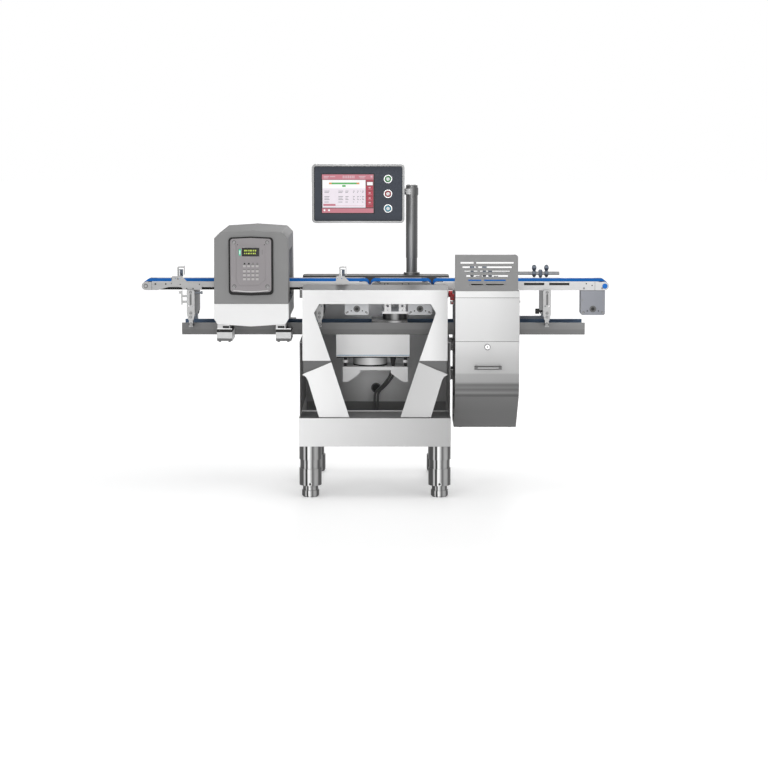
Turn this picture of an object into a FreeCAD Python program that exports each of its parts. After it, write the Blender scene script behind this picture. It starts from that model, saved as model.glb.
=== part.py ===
import FreeCAD, Part
import math
import os
import re

import Sketcher

# Checkweigher with a metal detector. Millimetres, +X along the line of travel, +Y away from the
# operator, +Z up. The origin is on the floor, under the middle of the machine.

SIZES = {
    # line and conveyors
    "transport_height": 846,
    "line_half": 948.5,
    "weigh_middle": 105,
    "weigh_axle_span": 215,
    "transfer_gap": 5.5,
    "roller_radius": 15.2,
    "roller_slack": 0.3,
    "belt_thick": 2,
    "belt_width": 130,
    "roller_length": 126,
    "shaft_radius": 6,
    "shaft_clearance": 0.05,
    "conveyor_half": 105,
    "side_plate": 4,
    "side_plate_drop": 1,
    "end_radius": 17,
    "inner_end_radius": 13.5,
    "raised_edge": 21,
    "taper_start": 47,
    "taper_length": 45,
    "bed_thick": 5,
    "bed_flange": 3,
    "bed_flange_in": 12,
    "bed_end_gap": 20,
    "spacer_radius": 6,
    "guide_hole_first": 39,
    "guide_hole_pitch": 42,
    "guide_hole_radius": 3.3,
    "slot_high": 10,
    "slot_long": 82,
    "slot_pitch": 102,
    "slot_first": 350,
    "housing_wide": 98,
    "housing_high": 100,
    "housing_deep": 70,
    "housing_round": 8,
    "housing_offset": 32,
    "weigh_housing_offset": 31,
    "outfeed_housing_offset": 48,
    "housing_drop": 1,
    "motor_radius": 28,
    "motor_long": 105,
    "output_hole_radius": 11,
    "output_hole_deep": 32,
    "output_hole_up": 25,
    # rail and conveyor supports
    "rail_left": 789,
    "rail_right": 854,
    "rail_half": 75,
    "rail_wall": 4,
    "rail_high": 49,
    "rail_under_detector": 1,
    "support_left": 748,
    "support_middle": 226,
    "support_right": 696,
    "support_wide": 32,
    "support_half": 122,
    "support_thick": 5,
    "support_above_rail": 14,
    "support_round": 7,
    "support_slot_half": 4,
    "support_slot_long": 38,
    "support_foot_wide": 16,
    "support_foot_lap": 13,
    "web_above_rail": 32.5,
    "tab_thick": 6,
    "knob_stud": 4,
    "knob_radius": 11,
    "knob_long": 16,
    "clamp_bar_out": 18,
    # frame
    "frame_half": 290,
    "tray_margin": 12,
    "tray_half_deep": 330,
    "tray_bottom": 208,
    "tray_high": 114,
    "tray_sheet": 3,
    "shelf_deep": 236,
    "leg_inset_across": 32,
    "leg_inset_along": 45,
    "leg_radius": 44.5,
    "leg_waist": 41,
    "leg_lower_end": 48,
    "rear_leg_radius": 36,
    "rear_leg_end": 73,
    "foot_neck_radius": 30.5,
    "foot_radius": 34.5,
    "foot_high": 27,
    "rear_foot_radius": 41.5,
    "spindle_radius": 12,
    "spindle_up": 20,
    "panel_front": 252,
    "panel_sheet": 2,
    "panel_drop": 20,
    "panel_high": 284,
    "panel_rise": 11,
    "panel_back_edge": 132,
    "window_margin": 56,
    "window_chamfer": 36,
    "window_top_half": 223,
    "window_side_half": 243,
    "window_foot_half": 177,
    "sheet_foot_half": 102,
    "sheet_outer_half": 223,
    "sheet_tip_half": 291,
    "sheet_tip_drop": 55,
    "sheet_neck_half": 268,
    "sheet_neck_drop": 21,
    "sheet_tilt": 14,
    "rail_seat_high": 10,
    "side_sheet": 3,
    "rear_panel_lap": 26,
    "beam_front": 200,
    "beam_back": 300,
    "beam_overhang": 18,
    "beam_drop": 2,
    "beam_high": 54,
    "beam_round": 20,
    "beam_wall": 5,
    # parts inside the frame
    "box_left": 160,
    "box_right": 140,
    "box_high": 91,
    "box_half_deep": 72,
    "box_wall": 3,
    "drum_radius": 70,
    "drum_across": 22,
    "bracket_half": 133,
    "bracket_gap": 42,
    "bracket_strip": 14,
    "bracket_ear": 62,
    "cell_middle": 80,
    "cell_radius": 51,
    "cell_base_left": 15,
    "cell_base_high": 8,
    "cell_body_high": 31.5,
    "cell_plate_high": 9,
    "cell_bracket_wide": 28,
    "cell_bracket_gap": 29.5,
    "post_radius": 6,
    "post_nut_radius": 11,
    "post_nut_high": 10,
    "buffer_radius": 13,
    "gland_radius": 16,
    "gland_above_rim": 35,
    "cable_radius": 5,
    "cable_spread": 13,
    # metal detector
    "detector_middle": 495,
    "detector_half_deep": 228,
    "detector_half_top": 147,
    "detector_half_bottom": 150,
    "crown_high": 81,
    "crown_bow": 8,
    "detector_chamfer": 24,
    "seam_drop": 24,
    "cover_side_high": 60,
    "cover_chamfer_high": 22,
    "cover_bow": 9,
    "detector_wall": 6,
    "tunnel_half": 125,
    "tunnel_above_belt": 128,
    "tunnel_below_belt": 54,
    "coil_thick": 20,
    "gasket_half": 89,
    "gasket_above_seam": 38,
    "gasket_high": 228,
    "gasket_thick": 6,
    "control_half": 81.5,
    "control_margin": 12,
    "control_high": 211,
    "control_thick": 16,
    "control_arch": 4,
    "display_wide": 69,
    "display_drop": 69,
    "display_high": 34,
    "lamp_wide": 9,
    "lamp_high": 24,
    "lamp_gap": 4,
    "key_pitch": 17,
    "key_row_pitch": 16,
    "key_drop": 38,
    "key_size": 11,
    "mount_wide": 61,
    "mount_left": 108,
    "mount_right": 128,
    "mount_deep": 153,
    "mount_below_rail": 10,
    "mount_step": 12,
    "mount_pad_thick": 11.5,
    "rubber_high": 11,
    # light barriers and guide rod
    "barrier_first": 788,
    "barrier_second": 132,
    "barrier_plate": 3,
    "barrier_body_wide": 16,
    "barrier_body_high": 29,
    "barrier_rise": 23,
    "barrier_hook": 5.5,
    "barrier_hook_room": 6.5,
    "barrier_hook_deep": 15,
    "barrier_hook_end": 3,
    "barrier_hook_drop": 34,
    "rod_radius": 7,
    "rod_inset": 10,
    "rod_long": 434,
    "rod_rise": 16,
    "rod_behind": 119,
    "clamp_wide": 20,
    "clamp_radius": 12,
    "clamp_rise": 24,
    # operator terminal
    "pole_across": 151,
    "pole_behind": 250,
    "pole_radius": 25,
    "pole_lower_radius": 23.5,
    "pole_lower_long": 72,
    "pole_above_arm": 29,
    "flange_radius": 34,
    "flange_high": 12,
    "terminal_middle": 73,
    "terminal_front": 150,
    "terminal_half_wide": 193,
    "terminal_rise": 222,
    "terminal_high": 246,
    "terminal_deep": 58,
    "terminal_round": 17,
    "bezel": 9,
    "bezel_proud": 3,
    "arm_in_terminal": 129,
    "arm_radius": 14,
    "arm_collar": 28,
    "arm_collar_high": 32,
    "glass_margin_left": 41.5,
    "glass_wide": 217.5,
    "glass_margin_low": 42,
    "glass_high": 162,
    "glass_thick": 1.5,
    "button_from_middle": 124,
    "button_rise": 184,
    "button_pitch": 61.3,
    "button_radius": 13,
    "button_ring": 17.4,
    "button_ring_proud": 3,
    "button_proud": 6,
    "button_travel": 3,
    # reject cabinet
    "cabinet_gap": 18,
    "cabinet_wide": 254,
    "cabinet_front": 300,
    "cabinet_back": 112,
    "cabinet_bottom": 250,
    "cabinet_sheet": 2,
    "strip_drop": 20,
    "strip_high": 26,
    "upper_front_high": 201.5,
    "door_flat_high": 128.5,
    "door_foot_front": 99,
    "door_knee_front": 284,
    "door_knee_drop": 93,
    "door_ease": 2,
    "seam_wide": 1,
    "seam_deep": 0.8,
    "hood_rise": 125,
    "hood_wide": 250,
    "hood_overhang": 3,
    "hood_return": 20,
    "hood_gap": 1,
    "hood_round": 12,
    "hood_slot_high": 6,
    "hood_slot_drop": 35,
    "hood_slot_pitch": 17.4,
    "hood_slot_wide": 210,
    "hood_slot_step": 15.4,
    "hood_slot_short": 51.5,
    "hood_slot_rib": 10.6,
    "hinge_radius": 5,
    "hinge_inset": 12,
    "hinge_behind": 10,
    "hinge_lug_wide": 14,
    "hinge_lug_high": 16,
    "hinge_seat_high": 28,
    "lock_radius": 12,
    "lock_drop": 20.5,
    "handle_shift": 2,
    "handle_drop": 101.5,
    "handle_long": 108,
    "handle_radius": 7,
    "handle_out": 30,
    "nozzle_wide": 18,
    "nozzle_high": 34,
    # rotary switch
    "switch_radius": 13,
    "switch_long": 20,
    "switch_drop": 45,
    "switch_front": 150,
    "screw_radius": 5,
    "screw_high": 3,
}

# what stands on, hangs from or lines up with something else
PLACES = {
    "tray_half_wide": "frame_half + tray_margin",
    "tray_rim": "tray_bottom + tray_high",
    "leg_across": "frame_half - leg_inset_across",
    "leg_along": "tray_half_deep - leg_inset_along",
    "tunnel_top": "transport_height + tunnel_above_belt",
    "tunnel_bottom": "transport_height - tunnel_below_belt",
    "detector_shoulder": "tunnel_top + crown_high",
    "detector_peak": "detector_shoulder + crown_bow",
    "detector_seam": "tunnel_bottom - seam_drop",
    "detector_corner": "detector_seam - cover_side_high",
    "detector_lower": "detector_corner - cover_chamfer_high",
    "detector_bottom": "detector_lower - cover_bow",
    "mount_block_top": "detector_bottom - mount_pad_thick - rubber_high",
    "gasket_bottom": "detector_seam + gasket_above_seam",
    "gasket_top": "gasket_bottom + gasket_high",
    "control_bottom": "gasket_bottom + control_margin",
    "control_top": "control_bottom + control_high",
    "display_bottom": "control_top - display_drop",
    "key_top_row": "display_bottom - key_drop",
    "rail_top": "detector_bottom - rail_under_detector",
    "rail_low": "rail_top - rail_high",
    "mount_foot": "rail_low - mount_below_rail",
    "side_top": "rail_low - rail_seat_high",
    "panel_top": "transport_height - panel_drop",
    "panel_bottom": "panel_top - panel_high",
    "window_top": "panel_top - window_margin",
    "window_corner": "window_top - window_chamfer",
    "sheet_tip": "panel_bottom - sheet_tip_drop",
    "sheet_neck": "sheet_tip - sheet_neck_drop",
    "sheet_end": "tray_rim",
    "rear_panel_front": "beam_back",
    "rear_panel_bottom": "tray_rim - rear_panel_lap",
    "beam_half": "frame_half + beam_overhang",
    "beam_top": "transport_height - beam_drop",
    "box_bottom": "rail_low - box_high",
    "bracket_top": "box_bottom - bracket_gap",
    "gland_up": "tray_rim + gland_above_rim",
    "rod_left": "cabinet_left + rod_inset",
    "rod_right": "rod_left + rod_long",
    "rod_up": "transport_height + rod_rise",
    "pole_step": "beam_top + pole_lower_long",
    "terminal_bottom": "transport_height + terminal_rise",
    "arm_up": "terminal_bottom + arm_in_terminal",
    "pole_top": "arm_up + pole_above_arm",
    "glass_left": "terminal_middle + terminal_half_wide - glass_margin_left",
    "glass_bottom": "terminal_bottom + glass_margin_low",
    "button_across": "button_from_middle - terminal_middle",
    "button_top": "terminal_bottom + button_rise",
    "cabinet_left": "tray_half_wide + cabinet_gap",
    "strip_top": "transport_height - strip_drop",
    "cabinet_top": "strip_top - strip_high",
    "door_top": "strip_top - upper_front_high",
    "door_bend": "door_top - door_flat_high",
    "door_knee_up": "door_bend - door_knee_drop",
    "hood_left": "cabinet_left - hood_overhang",
    "hood_right": "hood_left + hood_wide",
    "hood_low": "strip_top + hood_gap",
    "hood_top": "transport_height + hood_rise",
    "hinge_across": "hood_right - hinge_inset",
    "hinge_along": "hinge_behind - cabinet_front",
    "hood_slot_first": "hood_top - hood_slot_drop",
    "lock_up": "door_top - lock_drop",
    "lock_across": "cabinet_left + cabinet_wide / 2",
    "handle_across": "lock_across + handle_shift",
    "handle_up": "door_top - handle_drop",
    "switch_up": "transport_height - switch_drop",
}

doc = FreeCAD.newDocument("checkweigher")
sheet = doc.addObject("Spreadsheet::Sheet", "Sizes")
for row, (alias, size) in enumerate(SIZES.items(), start=1):
    sheet.set(f"A{row}", alias)
    sheet.set(f"B{row}", str(size))
    sheet.setAlias(f"B{row}", alias)
doc.recompute()

SIZE_NAME = re.compile(r"\b(" + "|".join(SIZES) + r")\b")
PLACE_NAME = re.compile(r"\b(" + "|".join(PLACES) + r")\b")
FLAT_PLANES = {"XY": "XY_Plane", "XZ": "XZ_Plane", "YZ": "YZ_Plane"}
AXES = {"x": FreeCAD.Vector(1, 0, 0), "y": FreeCAD.Vector(0, 1, 0), "z": FreeCAD.Vector(0, 0, 1)}
nodes = {}


def linked(text):
    """An expression with its places spelled out, and its size names pointing at the sheet."""
    text = str(text)
    while PLACE_NAME.search(text):
        text = PLACE_NAME.sub(lambda found: f"({PLACES[found[1]]})", text)
    return SIZE_NAME.sub(r"Sizes.\1", text)


def number(text):
    """What an expression comes to now."""
    return float(sheet.evalExpression(linked(text)))


def bind(item, prop, text):
    item.setExpression(prop, linked(text))


def place(item, at, rotation=None):
    """Puts an object's origin at three expressions."""
    if rotation is not None:
        item.Placement = FreeCAD.Placement(FreeCAD.Vector(), rotation)
    for axis, text in zip("xyz", at):
        bind(item, f"Placement.Base.{axis}", text)
    return item


def block(name, x, y, z):
    """A box: x, y and z are each (low side, size)."""
    item = doc.addObject("Part::Box", name)
    for prop, (_, size) in zip(("Length", "Width", "Height"), (x, y, z)):
        bind(item, prop, size)
    return place(item, (x[0], y[0], z[0]))


def rod(name, axis, radius, long, at):
    """A cylinder that starts at a point and runs along +x, +y or +z."""
    item = doc.addObject("Part::Cylinder", name)
    bind(item, "Radius", radius)
    bind(item, "Height", long)
    return place(item, at, FreeCAD.Rotation(AXES["z"], AXES[axis]))


def cone(name, low_radius, high_radius, long, at):
    item = doc.addObject("Part::Cone", name)
    bind(item, "Radius1", low_radius)
    bind(item, "Radius2", high_radius)
    bind(item, "Height", long)
    return place(item, at)


def outline(body, name, plane, points, offset):
    """A closed sketch with every corner held by the sheet."""
    sketch = body.newObject("Sketcher::SketchObject", name)
    role = FLAT_PLANES[plane]
    support = [part for part in body.Origin.OriginFeatures if part.Role == role][0]
    sketch.AttachmentSupport = (support, [""])
    sketch.MapMode = "FlatFace"
    bind(sketch, "AttachmentOffset.Base.z", offset)
    corners = [FreeCAD.Vector(number(u), number(v), 0) for u, v in points]
    count = len(corners)
    for i in range(count):
        sketch.addGeometry(Part.LineSegment(corners[i], corners[(i + 1) % count]))
    for i in range(count):
        sketch.addConstraint(Sketcher.Constraint("Coincident", i, 2, (i + 1) % count, 1))
    for i, (u, v) in enumerate(points):
        for kind, text, now in (("DistanceX", u, corners[i].x), ("DistanceY", v, corners[i].y)):
            held = sketch.addConstraint(Sketcher.Constraint(kind, -1, 1, i, 1, now))
            bind(sketch, f"Constraints[{held}]", text)
    return sketch


def plate(name, plane, points, low, thick, rounds=()):
    """A padded outline. rounds holds (radius, corner numbers) for the edges to round."""
    body = doc.addObject("PartDesign::Body", name)
    back = plane == "XZ"
    sketch = outline(body, f"{name}_outline", plane, points, f"-({low})" if back else low)
    pad = body.newObject("PartDesign::Pad", f"{name}_pad")
    pad.Profile = sketch
    pad.Reversed = back
    bind(pad, "Length", thick)
    doc.recompute()
    for turn, (radius, corners) in enumerate(rounds):
        round_corners(body, f"{name}_round{turn}", plane, [points[i] for i in corners], radius)
    return body


def round_corners(body, name, plane, corners, radius):
    """Rounds the edges that stand on the given corners of an outline."""
    spots = [(number(u), number(v)) for u, v in corners]
    across = {"XY": (0, 1), "XZ": (0, 2), "YZ": (1, 2)}[plane]
    picked = []
    for i, edge in enumerate(body.Shape.Edges, start=1):
        ends = [vertex.Point for vertex in edge.Vertexes]
        if len(ends) < 2:
            continue
        for spot in spots:
            if all(abs(end[across[k]] - spot[k]) < 0.01 for end in ends for k in (0, 1)):
                picked.append(f"Edge{i}")
                break
    base = body.Tip
    fillet = body.newObject("PartDesign::Fillet", name)
    fillet.Base = (base, picked)
    bind(fillet, "Radius", radius)
    doc.recompute()


def joined(name, *parts):
    item = doc.addObject("Part::MultiFuse", name)
    item.Shapes = list(parts)
    item.Refine = True
    return item


def cut(name, base, *tools):
    tool = tools[0]
    if len(tools) > 1:
        tool = doc.addObject("Part::Compound", f"{name}_tools")
        tool.Links = list(tools)
    item = doc.addObject("Part::Cut", name)
    item.Base = base
    item.Tool = tool
    return item


def node(name, *parts):
    """One named sub-part: a solid, or a group of separate solids."""
    item = parts[0]
    if len(parts) > 1:
        item = doc.addObject("Part::Compound", f"{name}_group")
        item.Links = list(parts)
    item.Label = name
    nodes[name] = item


def rect(u, v):
    """Corners of a rectangle from (low, high) pairs."""
    return [(u[0], v[0]), (u[1], v[0]), (u[1], v[1]), (u[0], v[1])]


# derived heights and places
BELT_OUTER = "(roller_radius + roller_slack + belt_thick)"
BELT_INNER = "(roller_radius + roller_slack)"
AXLE_UP = f"(transport_height - {BELT_OUTER})"
PLATE_TOP = "(transport_height - side_plate_drop)"
PLATE_LOW = f"({AXLE_UP} - end_radius)"
INFEED_TAIL = f"(-line_half + {BELT_OUTER})"
OUTFEED_DRIVE = f"(line_half - {BELT_OUTER})"
WEIGH_TAIL = "(weigh_middle - weigh_axle_span / 2)"
WEIGH_DRIVE = "(weigh_middle + weigh_axle_span / 2)"
INFEED_DRIVE = f"({WEIGH_TAIL} - 2 * {BELT_OUTER} - transfer_gap)"
OUTFEED_TAIL = f"({WEIGH_DRIVE} + 2 * {BELT_OUTER} + transfer_gap)"
CONVEYORS = {
    "infeed": (INFEED_TAIL, INFEED_DRIVE),
    "weigh": (WEIGH_TAIL, WEIGH_DRIVE),
    "outfeed": (OUTFEED_TAIL, OUTFEED_DRIVE),
}
PLATE_FACES = {"front": "-conveyor_half", "rear": "conveyor_half - side_plate"}
SHAFT_BORE = "shaft_radius + shaft_clearance"
HOUSING_OFFSETS = {"infeed": "housing_offset", "weigh": "weigh_housing_offset",
                   "outfeed": "outfeed_housing_offset"}
HOUSING_TOP = f"({PLATE_LOW} - housing_drop)"
HOUSING_LOW = f"({HOUSING_TOP} - housing_high)"
INNER_HALF = "(conveyor_half - side_plate)"
KNOB_ALONG = "(-support_half + 40)"
KNOB_UP = "(rail_top + 48)"


def side_plates(name, tail, drive):
    """Front and rear side plates of one conveyor, with their bores and holes."""
    plates = []
    tail_round = "end_radius" if name == "infeed" else "inner_end_radius"
    drive_round = "end_radius" if name == "outfeed" else "inner_end_radius"
    for face, low in PLATE_FACES.items():
        label = f"{name}_{face}"
        points = rect((tail, drive), (PLATE_LOW, PLATE_TOP))
        if name == "infeed":
            start = f"({tail} + taper_start)"
            stop = f"({start} + taper_length)"
            raised = f"({PLATE_TOP} - raised_edge)"
            points = [(tail, PLATE_LOW), (start, PLATE_LOW), (stop, raised), (drive, raised),
                      (drive, PLATE_TOP), (tail, PLATE_TOP)]
        elif name == "weigh":
            points = rect((tail, drive), (f"{PLATE_LOW} + 4", PLATE_TOP))
        flat = plate(f"{label}_flat", "XZ", points, low, "side_plate")
        ends = [
            rod(f"{label}_tail_end", "y", tail_round, "side_plate", (tail, low, AXLE_UP)),
            rod(f"{label}_drive_end", "y", drive_round, "side_plate", (drive, low, AXLE_UP)),
        ]
        holes = []
        for end, axle in (("tail", tail), ("drive", drive)):
            holes.append(rod(f"{label}_{end}_bore", "y", SHAFT_BORE, "side_plate + 2",
                             (axle, f"{low} - 1", AXLE_UP)))
        if name == "infeed":
            for i in range(2):
                across = f"{tail} + guide_hole_first + {i} * guide_hole_pitch"
                holes.append(rod(f"{label}_guide_hole{i}", "y", "guide_hole_radius",
                                 "side_plate + 2", (across, f"{low} - 1", f"{AXLE_UP} + 8")))
        if name == "outfeed":
            for i in range(2):
                across = f"{tail} + slot_first + {i} * slot_pitch"
                holes.append(block(f"{label}_slot{i}", (across, "slot_long"),
                                   (f"{low} - 1", "side_plate + 2"),
                                   (f"{PLATE_TOP} - slot_high - 3", "slot_high")))
        plates.append(cut(f"{label}_plate", joined(f"{label}_blank", flat, *ends), *holes))
    return plates


def conveyor(name, tail, drive):
    """Frame, belt, rollers, bed and drive housing of one conveyor."""
    spacers = []
    inside = "2 * conveyor_half - 2 * side_plate"
    for i, share in enumerate((0.3, 0.7)):
        across = f"{tail} + ({drive} - {tail}) * {share}"
        spacers.append(rod(f"{name}_spacer{i}", "y", "spacer_radius", inside,
                           (across, "-conveyor_half + side_plate", AXLE_UP)))
    node(f"{name}_frame", *side_plates(name, tail, drive), *spacers)

    def loop(label, radius, half):
        run = block(f"{label}_run", (tail, f"{drive} - {tail}"), (f"-{half}", f"2 * {half}"),
                    (f"{AXLE_UP} - {radius}", f"2 * {radius}"))
        ends = [rod(f"{label}_end{i}", "y", radius, f"2 * {half}", (axle, f"-{half}", AXLE_UP))
                for i, axle in enumerate((tail, drive))]
        return joined(label, run, *ends)

    belt = cut(f"{name}_belt_loop", loop(f"{name}_belt_outside", BELT_OUTER, "(belt_width / 2)"),
               loop(f"{name}_belt_inside", BELT_INNER, "(belt_width / 2 + 1)"))
    node(f"{name}_belt", belt)

    for role, axle in (("tail", tail), ("drive", drive)):
        label = f"{name}_{role}_roller"
        drum = rod(f"{label}_drum", "y", "roller_radius", "roller_length",
                   (axle, "-roller_length / 2", AXLE_UP))
        shaft = rod(f"{label}_shaft", "y", "shaft_radius", "2 * conveyor_half",
                    (axle, "-conveyor_half", AXLE_UP))
        node(label, joined(f"{label}_solid", drum, shaft))


def slider_beds():
    """Channels that hold the upper run of each belt."""
    beds = []
    half = "(conveyor_half - side_plate)"
    under_belt = f"({AXLE_UP} + {BELT_INNER})"
    for name, (tail, drive) in CONVEYORS.items():
        start = f"({tail} + {BELT_OUTER} + bed_end_gap - roller_radius)"
        long = f"({drive} - {tail} - 2 * ({BELT_OUTER} + bed_end_gap - roller_radius))"
        top = block(f"{name}_bed_top", (start, long), (f"-{half}", f"2 * {half}"),
                    (f"{under_belt} - bed_thick", "bed_thick"))
        flanges = [block(f"{name}_bed_flange{i}", (start, long), (low, "bed_flange"),
                         (f"{PLATE_LOW} + 1", f"{under_belt} - {PLATE_LOW} - 1"))
                   for i, low in enumerate((f"-{half} + bed_flange_in",
                                            f"{half} - bed_flange_in - bed_flange"))]
        pocket = []
        for i, share in enumerate((0.3, 0.7)):
            across = f"{tail} + ({drive} - {tail}) * {share}"
            pocket.append(rod(f"{name}_bed_spacer_hole{i}", "y", "spacer_radius",
                              f"2 * {half}", (across, f"-{half}", AXLE_UP)))
        beds.append(cut(f"{name}_bed", joined(f"{name}_bed_channel", top, *flanges), *pocket))
    node("slider_beds", *beds)


def drive_housings():
    """Gear housings under the downstream ends, with their motors behind them."""
    housings = []
    for name, (_, drive) in CONVEYORS.items():
        left = f"({drive} - housing_wide / 2 - {HOUSING_OFFSETS[name]})"
        middle = f"({left} + housing_wide / 2)"
        points = rect((left, f"({left} + housing_wide)"), (HOUSING_LOW, HOUSING_TOP))
        case = plate(f"{name}_housing_case", "XZ", points, "-conveyor_half", "housing_deep",
                     rounds=[("housing_round", (0, 1))])
        hole = rod(f"{name}_output_hole", "y", "output_hole_radius", "output_hole_deep + 1",
                   (middle, "-conveyor_half - 1", f"{HOUSING_LOW} + output_hole_up"))
        hanger = block(f"{name}_housing_hanger", (f"{left} + 24", 44), (f"-{INNER_HALF}", "tab_thick"),
                       (HOUSING_TOP, "housing_drop + 20"))
        housings.append(cut(f"{name}_housing", joined(f"{name}_housing_blank", case, hanger), hole))
        housings.append(rod(f"{name}_motor", "y", "motor_radius", "motor_long",
                          (middle, "-conveyor_half + housing_deep", f"{HOUSING_LOW} + housing_high / 2")))
    node("drive_housings", *housings)


def rail():
    """Channel, open at its top and ends, whose outer walls have a crease along them."""
    crease = "(rail_low + rail_high / 2 - rail_wall)"
    tuck = "(rail_half - rail_wall / 2)"
    points = [(f"-{tuck}", "rail_low"), (tuck, "rail_low"), ("rail_half", crease),
              ("rail_half", "rail_top"), ("-rail_half", "rail_top"), ("-rail_half", crease)]
    beam = plate("rail_beam", "YZ", points, "-rail_left", "rail_left + rail_right")
    inside = "(rail_half - 1.5 * rail_wall)"
    room = block("rail_room", ("-rail_left - 1", "rail_left + rail_right + 2"),
                 (f"-{inside}", f"2 * {inside}"), ("rail_low + rail_wall", "rail_high"))
    node("conveyor_rail", cut("rail_channel", beam, room))


SUPPORTS = {"left": "-support_left", "middle": "-support_middle", "right": "support_right"}
SUPPORT_TOPS = {"left": f"({PLATE_TOP} - raised_edge)", "middle": f"({PLATE_TOP} - raised_edge)",
                "right": PLATE_LOW}


def supports():
    """Upright pairs that carry the infeed and outfeed conveyors on the rail."""
    pieces = []
    for name, middle in SUPPORTS.items():
        left = f"({middle} - support_wide / 2)"
        right = f"({middle} + support_wide / 2)"
        low = "(rail_top + support_above_rail)"
        top = f"({PLATE_LOW} + 2)"
        points = [(f"{left} + 6", low), (f"{right} - 6", low), (right, f"{low} + 26"), (right, top),
                  (left, top), (left, f"{low} + 26")]
        faces = {"front": "-support_half", "rear": "support_half - support_thick"}
        for face, start in faces.items():
            label = f"{name}_{face}"
            blank = plate(f"{label}_upright_blank", "XZ", points, start, "support_thick",
                          rounds=[("support_round", (0, 1, 3, 4))])
            through = (f"{start} - 1", "support_thick + 2")
            slot_low = f"({top} - 20 - support_slot_long)"
            slot = [block(f"{label}_slot", (f"{middle} - support_slot_half", "2 * support_slot_half"),
                          through, (slot_low, "support_slot_long"))]
            for i, up in enumerate((slot_low, f"{slot_low} + support_slot_long")):
                slot.append(rod(f"{label}_slot_end{i}", "y", "support_slot_half", through[1],
                                (middle, through[0], up)))
            for i, (dx, up) in enumerate((("-8", 58), ("8", 58), ("0", 14))):
                slot.append(rod(f"{label}_hole{i}", "y", 2.5, through[1],
                                (f"{middle} + {dx}", through[0], f"{low} + {up}")))
            pieces.append(cut(f"{label}_upright", blank, *slot))
        across = f"({right} - support_thick)" if name != "right" else left
        inside = "(support_half - support_thick)"
        web = block(f"{name}_web", (across, "support_thick"), (f"-{inside}", f"2 * {inside}"),
                    ("rail_top + web_above_rail", f"{PLATE_LOW} - 1 - rail_top - web_above_rail"))
        if name == "right":
            bore = rod("knob_bore", "x", "knob_stud + shaft_clearance", "support_thick + 2",
                       (f"{left} - 1", KNOB_ALONG, KNOB_UP))
            web = cut("right_web_bored", web, bore)
        pieces.append(web)
        inner = left if name != "right" else f"({left} + support_thick)"
        inner_wide = "(support_wide - support_thick)"
        for face, start in (("front", f"-{INNER_HALF}"), ("rear", f"{INNER_HALF} - tab_thick")):
            pieces.append(block(f"{name}_{face}_tab", (inner, inner_wide), (start, "tab_thick"),
                                (f"{PLATE_LOW} - 30", f"{SUPPORT_TOPS[name]} - {PLATE_LOW} + 38")))
        for face, start in (("front", "-support_half + support_thick"), ("rear", "rail_half")):
            pieces.append(block(f"{name}_{face}_foot",
                                (f"{middle} - support_foot_wide / 2", "support_foot_wide"),
                                (start, "support_half - support_thick - rail_half"),
                                ("rail_top - support_foot_lap",
                                 "support_foot_lap + support_above_rail + 16")))
    bar_right = "(-support_left - support_wide / 2)"
    bar = block("clamp_bar", (f"{bar_right} - clamp_bar_out - 4.5", 4.5), ("-support_half", 12),
                (f"{PLATE_LOW} - 58", 57))
    knob = rod("clamp_bar_knob", "x", 5, 10, (f"{bar_right} - clamp_bar_out - 14", "-support_half + 6",
                                               f"{PLATE_LOW} - 8"))
    stems = [rod(f"clamp_stem{i}", "x", 4.5, "clamp_bar_out",
                 (f"{bar_right} - clamp_bar_out", "-support_half + 4.5", f"{PLATE_LOW} - 46 + {i} * 23.5"))
             for i in range(2)]
    pieces.append(joined("clamp_bar_with_stems", bar, knob, *stems))
    lever_left = "(-support_left + support_wide / 2)"
    lever = rod("clamp_lever", "x", 4, 24, (lever_left, "-support_half + 18", f"{PLATE_LOW} - 10"))
    lever_end = rod("clamp_lever_end", "x", 6, 7,
                    (f"{lever_left} + 24", "-support_half + 18", f"{PLATE_LOW} - 10"))
    pieces.append(joined("clamp_lever_solid", lever, lever_end))
    stay_left = "(cabinet_left + cabinet_wide)"
    pieces.append(block("rail_stay", (stay_left, f"support_right - support_foot_wide / 2 - {stay_left}"),
                        ("rail_half", 14), ("rail_top", 12)))
    node("conveyor_supports", *pieces)
    left = "(support_right - support_wide / 2)"
    stud = rod("knob_stud_rod", "x", "knob_stud", "14 + support_thick", (f"{left} - 14", KNOB_ALONG, KNOB_UP))
    grip = rod("knob_grip", "x", "knob_radius", "knob_long",
               (f"{left} - 13 - knob_long", KNOB_ALONG, KNOB_UP))
    node("support_knob", joined("knob_solid", stud, grip))


def base_tray():
    """Open tray with a shelf along its front, which catches what falls from the belts."""
    outside = block("tray_outside", ("-tray_half_wide", "2 * tray_half_wide"),
                    ("-tray_half_deep", "2 * tray_half_deep"), ("tray_bottom", "tray_high"))
    inside = block("tray_inside", ("-tray_half_wide + tray_sheet", "2 * (tray_half_wide - tray_sheet)"),
                   ("-tray_half_deep + tray_sheet", "2 * (tray_half_deep - tray_sheet)"),
                   ("tray_bottom + tray_sheet", "tray_high"))
    rim = "(tray_bottom + tray_high)"
    front = "(-tray_half_deep + tray_sheet)"
    points = [(front, f"{rim} - 10"), (f"{front} + shelf_deep", f"{rim} - 12"),
              (f"{front} + shelf_deep", f"{rim} - 4"), (f"{front} + shelf_deep - 3", f"{rim} - 4"),
              (f"{front} + shelf_deep - 3", f"{rim} - 9"), (front, f"{rim} - 7")]
    shelf = plate("tray_shelf", "YZ", points, "-tray_half_wide + tray_sheet",
                  "2 * (tray_half_wide - tray_sheet)")
    node("base_tray", cut("tray_shell", outside, inside), shelf)


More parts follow.
